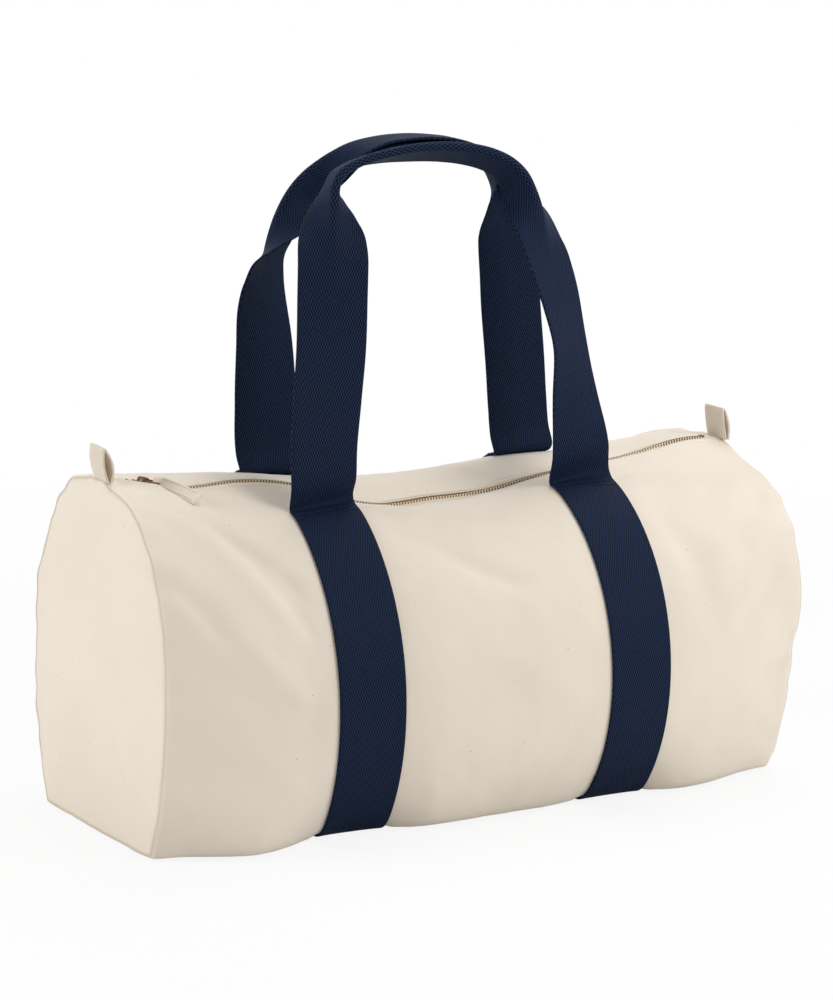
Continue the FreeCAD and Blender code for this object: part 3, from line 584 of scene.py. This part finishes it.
# Columns along the barrel lie closer beside the end seams
END_STEPS = np.array([0, 0.7, 1.5, 2.4, 3.5, 5, 7, 9.5, 12.5])
columns = np.concatenate([-HALF_LENGTH + END_STEPS, np.linspace(-234.5, 234.5, 188),
                          HALF_LENGTH - END_STEPS[::-1]])
rims = {}
for side in (FRONT, REAR):
    points, _, s = canvas(columns, side)
    uv = np.stack(np.broadcast_arrays(columns, side * s), axis=-1)
    half = grid_object(f"canvas_{WORDS[side]}", points, uv, flip=side == FRONT)
    thicken(half, CANVAS_THICKNESS)
    finish_piece(half, CANVAS, ("body_panel", f"{WORDS[side]}_top_panel"))
    bends_open(half)
    rims[side] = points[:, 0], points[:, -1]

# An end panel bulges out in the middle, is wavy, has puckers near its seam and a groove in it
END_BULGE, END_RADIUS, SEAM_DIP, SEAM_DIP_WIDTH = 5.5, 110.0, 0.8, 1.8
END_WAVE, END_WAVE_LENGTHS, END_WAVE_SEED = 1.1, (120, 90, 70), 29
PUCKER, PUCKER_LENGTHS, PUCKER_SEED, PUCKER_STRETCH = 0.9, (36, 27, 22), 31, 0.3
for word, end, out in ENDS:
    rim = np.concatenate([rims[FRONT][end], rims[REAR][end][-2:0:-1]])
    centre = rim.mean(axis=0)
    share = np.linspace(0.02, 1, 40)[:, None]
    flat = centre + (rim - centre) * share[..., None]
    y, z = flat[..., 1], flat[..., 2]
    bulge = END_BULGE * (1 - share ** 2)
    bulge = bulge + END_WAVE * ripples(y, z, END_WAVE_LENGTHS, END_WAVE_SEED + end) * (1 - share ** 4)
    puckers = ripples(PUCKER_STRETCH * y, z, PUCKER_LENGTHS, PUCKER_SEED + end)
    bulge = bulge + PUCKER * share ** 3 * puckers * (1 - share ** 10)
    bulge = bulge - SEAM_DIP * np.exp(-((1 - share) * END_RADIUS / SEAM_DIP_WIDTH) ** 2)
    panel_points = flat.copy()
    panel_points[..., 0] += out * bulge
    around = np.concatenate([flat, flat[:, :1]], axis=1)
    panel = grid_object(f"{word}_end", panel_points, around[..., 1:], wrap=True, flip=out > 0, caps=(0,))
    thicken(panel, CANVAS_THICKNESS)
    finish_piece(panel, CANVAS, (f"{word}_end_panel",))
    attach(panel, "bag")

# Body straps and handles: one flat strip of webbing, closed round its edges

# Columns across the strip lie closer at the ridge, where a grip folds, and at the edges, which are thinner
BAND_SIDE = np.array([1, 2, 3.5, 5, 7, 10, 14, 18, 22, 24, 24.6, 25]) * WEBBING_WIDTH / 50
BAND_ACROSS = np.concatenate([-BAND_SIDE[::-1], [0], BAND_SIDE])
BAND_HALF = WEBBING_THICKNESS / 2 * np.interp(np.abs(BAND_ACROSS), (24, 24.6, 25), (1, 0.8, 0.4))
LOOP_ACROSS = np.concatenate([BAND_ACROSS, BAND_ACROSS[::-1]])
LOOP_LIFT = np.concatenate([BAND_HALF, -BAND_HALF[::-1]])
LOOP_GIRTH = np.concatenate([BAND_ACROSS, BAND_ACROSS[::-1] + WEBBING_THICKNESS, BAND_ACROSS[:1]])
STRAP_GAP = 0.25
# The cross seam lies this many rows below a strap's upper end, and stops short of the strip's edges
SEAM_ROWS_DOWN, SEAM_COLUMNS = 2, slice(2, -2)

strap_tops, strap_leads, strap_seams = {}, {}, {}
pick = np.concatenate([np.arange(len(BAND_ACROSS)), np.arange(len(BAND_ACROSS))[::-1]])
lift = STRAP_GAP + WEBBING_THICKNESS / 2 + LOOP_LIFT
for side in (FRONT, REAR):
    for word, place in STRAP_PLACES.items():
        skin, normals, s = canvas(place + BAND_ACROSS, side)
        first = int(np.searchsorted(s.mean(axis=1), STITCH_GIRTH[side]))
        strip = (skin[:, pick] + normals[:, pick] * lift[:, None])[first:]
        uv = chart(LOOP_GIRTH, s.mean(axis=1)[first:])
        strap = grid_object(f"{WORDS[side]}_{word}_webbing", strip, uv, wrap=True, flip=side == FRONT,
                            caps=(0, -1))
        finish_piece(strap, WEBBING, (f"{word}_strap", f"{WORDS[side]}_{word}_strap_top"))
        bends_open(strap)
        strap_tops[side, word] = strip[0]
        strap_leads[side, word] = unit((strip[0] - strip[3]).mean(axis=0))
        face = skin + normals * (STRAP_GAP + WEBBING_THICKNESS)
        seam_row = first + SEAM_ROWS_DOWN, SEAM_COLUMNS
        strap_seams[side, word] = face[seam_row], normals[seam_row]

# x, y, z of the strip's middle, how far it is folded lengthwise (1 is in half) and its twist in degrees
HANDLE_PATHS = {
    FRONT: np.array([
        (-105, -48.8, 246, 0, 0), (-104.5, -48.6, 270, 0, -2), (-100.5, -46, 305, 0, -7),
        (-95.5, -42, 340, 0, -11), (-93, -39.5, 380, 0, -13), (-91.5, -38, 405, 0.05, -14),
        (-90.6, -37, 415, 0.2, -15), (-90.1, -36, 427.5, 0.47, -16), (-89, -35, 441, 0.74, -16),
        (-86.5, -33.5, 453, 0.95, -15), (-80, -31.8, 461.5, 1, -13), (-71, -31, 466, 1, -12),
        (-59.8, -30.5, 469.8, 1, -12), (-44.3, -30, 473.2, 1, -16), (-20.8, -29.5, 476.5, 1, -24),
        (6.8, -29.5, 476.7, 1, -28), (26.8, -29.8, 474, 1, -29), (41, -30.3, 470, 1, -29),
        (54, -31, 463.5, 1, -28), (64, -32, 454, 0.92, -27), (71, -33, 440, 0.7, -27),
        (75.5, -34.2, 425, 0.36, -28), (79, -36, 399, 0.05, -29), (88.4, -39, 366, 0, -31),
        (95, -42, 333, 0, -34), (97.5, -46, 294, 0, -22), (101.5, -48.6, 253, 0, -6)]),
    REAR: np.array([
        (-105.5, 46.6, 255, 0, 0), (-107.5, 45, 292, 0, 4), (-109.5, 42, 332, 0, 13),
        (-111.7, 40, 361.7, 0, 23), (-111, 39, 380, 0.02, 33), (-110, 38, 396, 0.12, 43),
        (-108, 37, 409, 0.4, 58), (-101, 36, 428, 0.8, 86), (-90.7, 34.8, 445, 1, 97),
        (-76.2, 33.8, 459, 1, 82), (-62, 33, 467.3, 1, 47), (-46, 32.2, 473.5, 1, 20),
        (-29.5, 31.6, 476.8, 1, 9), (-8, 31.2, 478.3, 1, 5), (15, 31.2, 477, 1, 2),
        (36, 31.6, 473.5, 1, 2), (54, 32.5, 465.5, 1, 2), (68, 34, 450, 0.9, 0), (76.5, 35, 432, 0.5, 0),
        (84, 36.5, 410, 0.1, 0), (88, 38, 383, 0, 0), (91, 40.5, 353, 0, 0), (97, 44, 306, 0, 0),
        (100.5, 46.4, 274, 0, 0), (102.8, 46.8, 252, 0, 0)]),
}
FOLD_BEND = 3.6
HANDLE_ROWS = 260
# A handle leaves its straps straight for this length, and takes up their cross section over the join
LEAVE_LENGTH, JOIN_LENGTH = 7.0, 34.0


def carried(line, across, outward, a, b):
    """A profile (a across, b outwards) carried along a line with two directions of its own in each row."""
    return line[:, None] + a[..., None] * across[:, None] + b[..., None] * outward[:, None]


def folded_strip(fold):
    """Cross section of the strip folded lengthwise by each share: its heading turns from flat at the ridge
    to fold times 90 degrees within the bend's length; summing its cosine and sine gives the place."""
    fine = np.linspace(0, WEBBING_WIDTH / 2, 251)
    step = fine[1]
    heading = np.radians(90) * fold[:, None] * ease(fine / FOLD_BEND)
    ridge = np.zeros((len(fold), 1))
    reach = np.concatenate([ridge, np.cumsum(np.cos(heading[:, 1:]), axis=1) * step], axis=1)
    depth = np.concatenate([ridge, np.cumsum(np.sin(heading[:, 1:]), axis=1) * step], axis=1)
    nearest = np.rint(np.abs(LOOP_ACROSS) / step).astype(int)
    turn = heading[:, nearest]
    across = np.sign(LOOP_ACROSS) * (reach[:, nearest] + np.sin(turn) * LOOP_LIFT)
    outward = np.cos(turn) * LOOP_LIFT - depth[:, nearest]
    return across, outward


for side in (FRONT, REAR):
    starts = {}
    for word in STRAP_PLACES:
        foot = strap_tops[side, word][:len(BAND_ACROSS)].mean(axis=0)
        leave = foot + strap_leads[side, word] * LEAVE_LENGTH
        starts[word] = [(*foot, 0, 0), (*leave, 0, 0)]
    knots = np.concatenate([starts["left"], HANDLE_PATHS[side], starts["right"][::-1]])
    chord = run_along(knots[:, :3])
    along = np.linspace(0, chord[-1], HANDLE_ROWS)
    line = smooth_path(along, chord, knots)
    fold = np.clip(flow(along, chord, knots[:, 3]), 0, 1)
    twist = np.radians(flow(along, chord, knots[:, 4]))[:, None]
    tangent = unit(np.gradient(line, axis=0))
    outward = np.array([0.0, side, 0.0])
    outward = unit(outward - tangent * (tangent @ outward)[:, None])
    across = np.cross(tangent, outward)
    outward, across = (outward * np.cos(twist) + across * np.sin(twist),
                       across * np.cos(twist) - outward * np.sin(twist))
    strip = carried(line, across, outward, *folded_strip(fold))
    for row, word, order in ((0, "left", side), (-1, "right", -side)):
        top = strap_tops[side, word]
        if order > 0:
            top = np.concatenate([top[:len(BAND_ACROSS)][::-1], top[len(BAND_ACROSS):][::-1]])
        fade = ease(1 - np.abs(along - along[row]) / JOIN_LENGTH)
        strip = strip + fade[:, None, None] * (top - strip[row])
    uv = chart(LOOP_GIRTH, along)
    handle = grid_object(f"{WORDS[side]}_handle_webbing", strip, uv, wrap=True, caps=(0, -1))
    finish_piece(handle, WEBBING, (HANDLES[side],))
    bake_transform(handle)

# Zip: two tapes, two rows of teeth and the stops at its ends

# A tooth is a block that narrows upwards and towards the other row
TOOTH = [(-0.5, -0.5, -0.4), (0.5, -0.5, -0.4), (0.5, 0.5, -0.25), (-0.5, 0.5, -0.25),
         (-0.35, -0.5, 0.5), (0.35, -0.5, 0.5), (0.3, 0.42, 0.42), (-0.3, 0.42, 0.42)]
TOOTH_FACES = [(0, 3, 2, 1), (4, 5, 6, 7), (0, 1, 5, 4), (1, 2, 6, 5), (2, 3, 7, 6), (3, 0, 4, 7)]
TURNED_FACES = [face[::-1] for face in TOOTH_FACES]
TOOTH_PITCH = 2.3
TOOTH_SIZE = (0.9, 4.4, 2.5)
TOOTH_OFF, REAR_ROW_DROP = 1.1, 0.5
CHAIN_START, CHAIN_END = -223, 233
# Columns of a tape: from the cord in its edge, between the teeth, to where it is sewn under the canvas
TAPE_REACH = np.array([0.7, 1.1, 1.5, 2.0, 2.5, 2.9, 3.4, 4.2, 5.2, 7, 9.5, 12])[:, None]
TAPE_HALF_LENGTH, TAPE_COLUMNS = 243, 260
TAPE_UNDER_CHAIN, TAPE_UNDER_CANVAS = 0.5, 0.6
CORD_RISE, CORD_PLACE, CORD_WIDTH = 1.45, 2.1, 0.8
DIP_START, DIP_LEAST = 1.6, 0.4
# Place and size of the stops: one on each tape at the left end, a clamp over both at the right end
STOP_X, STOP_OFF, STOP_RISE, STOP_SIZE = -232.8, 2.4, 0.3, (2, 2.6, 2.2)
CLAMP_X, CLAMP_RISE, CLAMP_SIZE = 235.0, 0.4, (3, 5.4, 2.2)


def zip_stop(name, x, y, rise, size):
    """One upright block crimped on the zip, its middle a little over the middle of the teeth."""
    place = np.array([[x, y, zip_height(x) + CHAIN_RISE + rise]])
    return scatter_object(name, TOOTH, TOOTH_FACES, place, np.eye(3)[None], size)


for side in (FRONT, REAR):
    x = np.linspace(-TAPE_HALF_LENGTH, TAPE_HALF_LENGTH, TAPE_COLUMNS)
    under = zip_height(x) + lip_rise(x, side) - CANVAS_THICKNESS - TAPE_UNDER_CANVAS
    beside = ease((TAPE_REACH - DIP_START) / np.maximum(lip(x) - DIP_START, DIP_LEAST))
    turned = np.tan(roll_out(x, side)) * TAPE_REACH
    tape_z = (zip_height(x) + CHAIN_RISE - TAPE_UNDER_CHAIN - turned) * (1 - beside) + under * beside
    tape_z = tape_z + top_slope(x, side) * np.maximum(TAPE_REACH - lip(x), 0)
    tape_z = tape_z + CORD_RISE * np.exp(-((TAPE_REACH - CORD_PLACE) / CORD_WIDTH) ** 2)
    tape_points = np.stack(np.broadcast_arrays(x, side * TAPE_REACH, tape_z), axis=-1)
    tape = grid_object(f"{WORDS[side]}_tape", tape_points, tape_points[..., :2], flip=side == FRONT)
    thicken(tape, TAPE_THICKNESS, offset=0, even=False)
    finish_piece(tape, TAPE, (f"{WORDS[side]}_zip_tape",))
    bends_open(tape)

    x = np.arange(CHAIN_START, CHAIN_END, TOOTH_PITCH) + (TOOTH_PITCH / 2 if side == REAR else 0)
    tilt = roll_out(x, side)
    ahead = unit(np.stack([np.full_like(x, 1), 0 * x, np.gradient(zip_height(x), x)], axis=-1))
    inward = np.stack([0 * x, -side * np.cos(tilt), np.sin(tilt)], axis=-1)
    up = np.cross(ahead, inward) * -side
    level = zip_height(x) + CHAIN_RISE - TOOTH_OFF * np.sin(tilt) - REAR_ROW_DROP * (side == REAR)
    places = np.stack([x, np.full_like(x, side * TOOTH_OFF), level], axis=-1)
    teeth = scatter_object(f"{WORDS[side]}_teeth", TOOTH, TOOTH_FACES if side == FRONT else TURNED_FACES,
                           places, np.stack([ahead, inward, up], axis=1), TOOTH_SIZE)
    finish_piece(teeth, TOOTH_BRASS, (f"{WORDS[side]}_zip_teeth",))
    bends_open(teeth)

    stop = zip_stop(f"{WORDS[side]}_end_stop", STOP_X, side * STOP_OFF, STOP_RISE, STOP_SIZE)
    finish_piece(stop, OLD_BRASS, (f"{WORDS[side]}_top_stop",))
    bends_open(stop)

clamp = zip_stop("zip_end_clamp", CLAMP_X, 0, CLAMP_RISE, CLAMP_SIZE)
finish_piece(clamp, OLD_BRASS, ("zip_bottom_stop",))
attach(clamp, "bag")

# Folded canvas: the end loops and the pull tab

END_LOOP_HEIGHT, END_LOOP_WALL, END_LOOP_BEND = 23.0, 1.5, 0.006
END_LOOP_GAPS = {"left": 3.3, "right": 2.2}
END_LOOP_FOLD, END_LOOP_BOW = 0.9, 0.9
# The loop stands in the end seam, a little inside the end and above the zip's line
END_LOOP_INSET, END_LOOP_LIFT = 1.5, 0.7
# Across the loop: places and the share of the height there, which falls at the cut edges
END_LOOP_ACROSS = np.array([-12.5, -12.2, -11, -6, 0, 6, 11, 12.2, 12.5])
END_LOOP_SHARES = np.array([0.9, 0.97, 1, 1, 1, 1, 1, 0.97, 0.9]) ** 0.3


def folded_loop(half_gap, height, thickness):
    """Outline of a strip folded over: up one side, round a half circle and down the other, with a wall. The
    sides bow apart between the seam and the fold by a half sine."""
    turn = np.linspace(0, np.pi, 13)
    up = np.linspace(0, height, 14, endpoint=False)
    bow = END_LOOP_FOLD + (half_gap - END_LOOP_FOLD) * np.sin(np.pi * up / height) ** END_LOOP_BOW
    x = np.concatenate([bow, END_LOOP_FOLD * np.cos(turn), -bow[::-1]])
    z = np.concatenate([up, height + END_LOOP_FOLD * np.sin(turn), up[::-1]])
    outside = unit(np.stack([np.gradient(z), -np.gradient(x)], axis=-1))
    middle = np.stack([x, z], axis=-1)
    return np.concatenate([middle + outside * thickness / 2, (middle - outside * thickness / 2)[::-1]])


for word, _, out in ENDS:
    seam_z = zip_height(out * HALF_LENGTH) + END_LOOP_LIFT
    foot = end_lean(np.array([out * (HALF_LENGTH - END_LOOP_INSET), 0, seam_z]))
    outline = folded_loop(END_LOOP_GAPS[word], END_LOOP_HEIGHT, END_LOOP_WALL)
    loop_x = foot[0] + outline[:, 0] - END_LOOP_BEND * outline[:, 1] ** 2
    loop_z = foot[2] + END_LOOP_SHARES[:, None] * outline[:, 1]
    loop_points = np.stack(np.broadcast_arrays(loop_x, END_LOOP_ACROSS[:, None], loop_z), axis=-1)
    uv = chart(run_along(np.concatenate([outline, outline[:1]])), END_LOOP_ACROSS)
    loop = grid_object(f"{word}_canvas_loop", loop_points, uv, wrap=True, flip=True, caps=(0, -1))
    finish_piece(loop, THIN_CANVAS, (f"{word}_end_loop",))
    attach(loop, "bag")

# The pull tab hangs from the ring: points from its hinge, and sizes of its flat oval cross section
TAB_PATH = np.array([(-1.9, 1.6, 0.3), (0, 0, 0), (4, -8.5, -0.6), (8.3, -18.5, -2.2), (12.2, -28.5, -4.4),
                     (16, -38.5, -6.8)])
TAB_ROWS, TAB_STEP = 60, 12
TAB_HALF_WIDTH, TAB_HALF_THICKNESS, TAB_EYE_RADIUS = 4.7, 1.25, 1.95
TAB_FLATNESS = 0.3, 0.45
# The tab is round where it holds the ring and closed at its tip
EYE_END, EYE_FADE, TIP_LENGTH, TIP_LEAST = 9.0, 6.0, 1.9, 0.02
joints = {joint["name"]: joint for joint in frame["record"]["behaviour"]["joints"]}
hinge = np.array(joints["pull_tab_swing"]["pos_m"]) / MM
chord = run_along(TAB_PATH)
along = np.linspace(0, chord[-1], TAB_ROWS)
tab_line = hinge + smooth_path(along, chord, TAB_PATH)
tangent = unit(np.gradient(tab_line, axis=0))
level = unit(np.cross((0.0, 0.0, 1.0), tangent))
# It rolls from 18 degrees at the ring to 54 and back to 42 along its length
roll = np.radians(18 + 36 * ease(along / 11) - 12 * ease((along - 14) / 24))[:, None]
tab_across = level * np.cos(roll) + np.cross(tangent, level) * np.sin(roll)
tab_out = np.cross(tangent, level) * np.cos(roll) - level * np.sin(roll)
thick = TAB_HALF_THICKNESS + (TAB_EYE_RADIUS - TAB_HALF_THICKNESS) * ease((EYE_END - along) / EYE_FADE)
thick = thick * np.sqrt(np.clip(along / TIP_LENGTH, TIP_LEAST, 1))
around = np.radians(np.arange(0, 360, TAB_STEP))
oval_across, oval_out = (np.sign(wave) * np.abs(wave) ** power
                         for wave, power in zip((np.cos(around), np.sin(around)), TAB_FLATNESS))
tab_points = carried(tab_line, tab_across, tab_out, TAB_HALF_WIDTH * oval_across[None],
                     thick[:, None] * oval_out)
uv = chart(np.arange(len(around) + 1) * 0.8, along)
tab = grid_object("canvas_pull_tab", tab_points, uv, wrap=True, caps=(0, -1))
finish_piece(tab, CANVAS, ("pull_tab",))
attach(tab, "pull_tab")

# Bound seam allowances inside the two ends: a flat profile, as ways inwards and away from the end

BINDING_PROFILE = np.array([(3.0, 2.2), (3.0, 5.2), (10.5, 5.2), (11.2, 3.7), (10.5, 2.2)])
BINDING_AROUND, BINDING_ACROSS = 2.4, 3.0
for word, end, out in ENDS:
    rim = np.concatenate([rims[FRONT][end][2:], rims[REAR][end][-2:1:-1]])
    inside = unit(rim.mean(axis=0) - rim)
    bound = rim[None] + BINDING_PROFILE[:, 0][:, None, None] * inside[None]
    bound[..., 0] -= out * BINDING_PROFILE[:, 1][:, None]
    bound = np.concatenate([bound, bound[:1]])
    uv = chart(np.arange(len(rim) + 1) * BINDING_AROUND, np.arange(len(bound)) * BINDING_ACROSS)
    binding = grid_object(f"{word}_binding", bound, uv, wrap=True, flip=out < 0)
    finish_piece(binding, TAPE, (f"{word}_seam_binding",))
    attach(binding, "bag")

# Sewing

# A stitch is a spindle of thread with four sides
SPINDLE = [(-0.5, 0, 0), (-0.28, 0.5, 0), (-0.28, 0, 0.5), (-0.28, -0.5, 0), (-0.28, 0, -0.5),
           (0.28, 0.5, 0), (0.28, 0, 0.5), (0.28, -0.5, 0), (0.28, 0, -0.5), (0.5, 0, 0)]
SPINDLE_FACES = ([(0, 1 + (k + 1) % 4, 1 + k) for k in range(4)]
                 + [(1 + k, 1 + (k + 1) % 4, 5 + (k + 1) % 4, 5 + k) for k in range(4)]
                 + [(5 + k, 5 + (k + 1) % 4, 9) for k in range(4)])
STITCH_SPACING, STITCH_LIFT = 1.25, 0.12
# Length and width of a stitch in each kind of seam
CROSS_STITCH, TAB_STITCH, ZIP_STITCH = (2.6, 0.9), (2.2, 0.6), (2.6, 0.42)


def stitches(name, line, normals, stitch, material):
    """Thread spindles along a line of points, end to end with a small gap, half sunk in the cloth."""
    length, width = stitch
    steps = run_along(line)
    marks = np.arange(length / 2, steps[-1], length * STITCH_SPACING)
    places, ahead, up = (np.stack([np.interp(marks, steps, values[:, k]) for k in range(3)], axis=-1)
                         for values in (line, np.gradient(line, axis=0), normals))
    ahead, up = unit(ahead), unit(up)
    frames = np.stack([ahead, np.cross(up, ahead), up], axis=1)
    made = scatter_object(name, SPINDLE, SPINDLE_FACES, places + up * STITCH_LIFT * width, frames,
                          (length, width, width))
    return finish_piece(made, material)


for (side, word), (seam_line, seam_normals) in strap_seams.items():
    seam = stitches(f"{WORDS[side]}_{word}_cross_seam", seam_line, seam_normals, CROSS_STITCH, NAVY_THREAD)
    bends_open(seam)

TAB_SEAM_ROWS = slice(12, -3)
for word, share in (("upper", 0.66), ("lower", -0.66)):
    seam_line = (tab_line + tab_across * TAB_HALF_WIDTH * share + tab_out * thick[:, None])[TAB_SEAM_ROWS]
    seam = stitches(f"pull_tab_{word}_seam", seam_line, tab_out[TAB_SEAM_ROWS], TAB_STITCH, CREAM_THREAD)
    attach(seam, "pull_tab")

ZIP_SEAM_START, ZIP_SEAM_END, ZIP_SEAM_GIRTH = -236, 238, 5.5
for side in (FRONT, REAR):
    skin, normals, s = canvas(np.linspace(ZIP_SEAM_START, ZIP_SEAM_END, 400), side)
    row = int(np.argmin(np.abs(s.mean(axis=1) - ZIP_SEAM_GIRTH)))
    seam = stitches(f"{WORDS[side]}_zip_seam", skin[row], normals[row], ZIP_STITCH, PALE_THREAD)
    bends_open(seam)

# Metal that stays as its solids

for name in ("zip_slider", "pull_ring"):
    metal = frame["nodes"][name]
    metal.data.materials.clear()
    metal.data.materials.append(OLD_BRASS)

# Floor, light and camera


def white_room():
    """Pale paper that keeps the bag's shadow and turns pure white to the camera further away."""
    made, tree, _, where = new_material("white studio paper")
    path = add(tree, "LightPath")
    paper = add(tree, "TexNoise", {"Scale": 1 / (400 * MM)}, {"Vector": where})
    shade = add(tree, "MapRange", {"To Min": 0.86, "To Max": 0.9}, {"Value": paper})
    lit = add(tree, "BsdfDiffuse", None, {"Color": shade})
    glow = add(tree, "Emission", {"Color": (1, 1, 1, 1), "Strength": 1.0})
    away = add(tree, "VectorMath", None, {0: where}, operation="LENGTH")
    share = add(tree, "MapRange",
                {"From Min": 0.35, "From Max": 1.3, "To Min": 0.88, "To Max": 1.0},
                {"Value": away.outputs["Value"]}, interpolation_type="SMOOTHSTEP")
    seen = add(tree, "Math", None, {0: path.outputs["Is Camera Ray"], 1: share}, operation="MULTIPLY")
    mixed = add(tree, "MixShader", None, {0: seen, 1: lit, 2: glow})
    add(tree, "OutputMaterial", None, {"Surface": mixed})
    return made


FLOOR_REACH, FLOOR_LEVEL = 6000.0, -0.2
floor_points = np.array([[(x, y, FLOOR_LEVEL) for x in (-FLOOR_REACH, FLOOR_REACH)]
                         for y in (-FLOOR_REACH, FLOOR_REACH)])
floor = grid_object("floor", floor_points, floor_points[..., :2])
floor.data.materials.append(white_room())

# The surround lights the bag softly and a little warm, and is plain white where it is seen or mirrored
SURROUND_STRENGTH = 0.35
SURROUND_TINT = (1.0, 0.965, 0.925, 1.0)
scene = bpy.context.scene
world = bpy.data.worlds.new("studio")
scene.world = world
world.use_nodes = True
sky = world.node_tree
sky.nodes.clear()
path = add(sky, "LightPath")
seen = add(sky, "Math", None, {0: path.outputs["Is Camera Ray"], 1: path.outputs["Is Glossy Ray"]},
           operation="MAXIMUM")
seen = add(sky, "Math", None, {0: seen, 1: path.outputs["Is Transmission Ray"]},
           operation="MAXIMUM")
strength = add(sky, "MapRange", {"To Min": SURROUND_STRENGTH, "To Max": 1.0}, {"Value": seen})
warmth = add(sky, "Mix", {6: SURROUND_TINT, 7: (1.0, 1.0, 1.0, 1.0)}, {0: seen}, data_type="RGBA")
back = add(sky, "Background", None, {"Color": warmth.outputs[2], "Strength": strength})
add(sky, "OutputWorld", None, {"Surface": back})


def stand(made, place, sideways, backward):
    """Sets a lamp or camera at a place, with its own x axis and z axis along two unit vectors."""
    turn = np.eye(4)
    turn[:3] = np.stack([sideways, np.cross(backward, sideways), backward, place], axis=1)
    made.matrix_world = Matrix(turn.tolist())


def softbox(name, place, aim, size, power):
    """A square lamp at a place, turned to an aim, in metres and watts."""
    lamp = bpy.data.lights.new(name, "AREA")
    lamp.shape = "SQUARE"
    lamp.size = size
    lamp.energy = power
    made = bpy.data.objects.new(name, lamp)
    scene.collection.objects.link(made)
    toward = unit(np.subtract(place, aim))
    stand(made, place, unit(np.cross((0.0, 0.0, 1.0), toward)), toward)


softbox("overhead", place=(0.5, 0.4, 2.0), aim=(0, 0, 0.2), size=1.4, power=19)
softbox("right front", place=(0.7, -1.1, 0.8), aim=(0.05, 0, 0.15), size=0.7, power=8.9)
softbox("left end", place=(-1.9, 0.25, 0.8), aim=(-0.25, 0, 0.12), size=1.0, power=17.3)

# The photograph's camera: 11.5 degrees above the horizon, turned 26.7 degrees to the bag's left end
PITCH, YAW = np.radians(11.5), np.radians(26.7)
DISTANCE, AIM = 2.188, np.array([-0.008, 0, 0.217])
backward = np.array([-np.sin(YAW) * np.cos(PITCH), -np.cos(YAW) * np.cos(PITCH), np.sin(PITCH)])
sideways = np.array([np.cos(YAW), -np.sin(YAW), 0])
lens = bpy.data.cameras.new("camera")
lens.lens = 108
lens.sensor_width = 36
lens.clip_end = 50
camera = bpy.data.objects.new("camera", lens)
scene.collection.objects.link(camera)
stand(camera, AIM + backward * DISTANCE, sideways, backward)
scene.camera = camera
scene.view_settings.view_transform = "Standard"
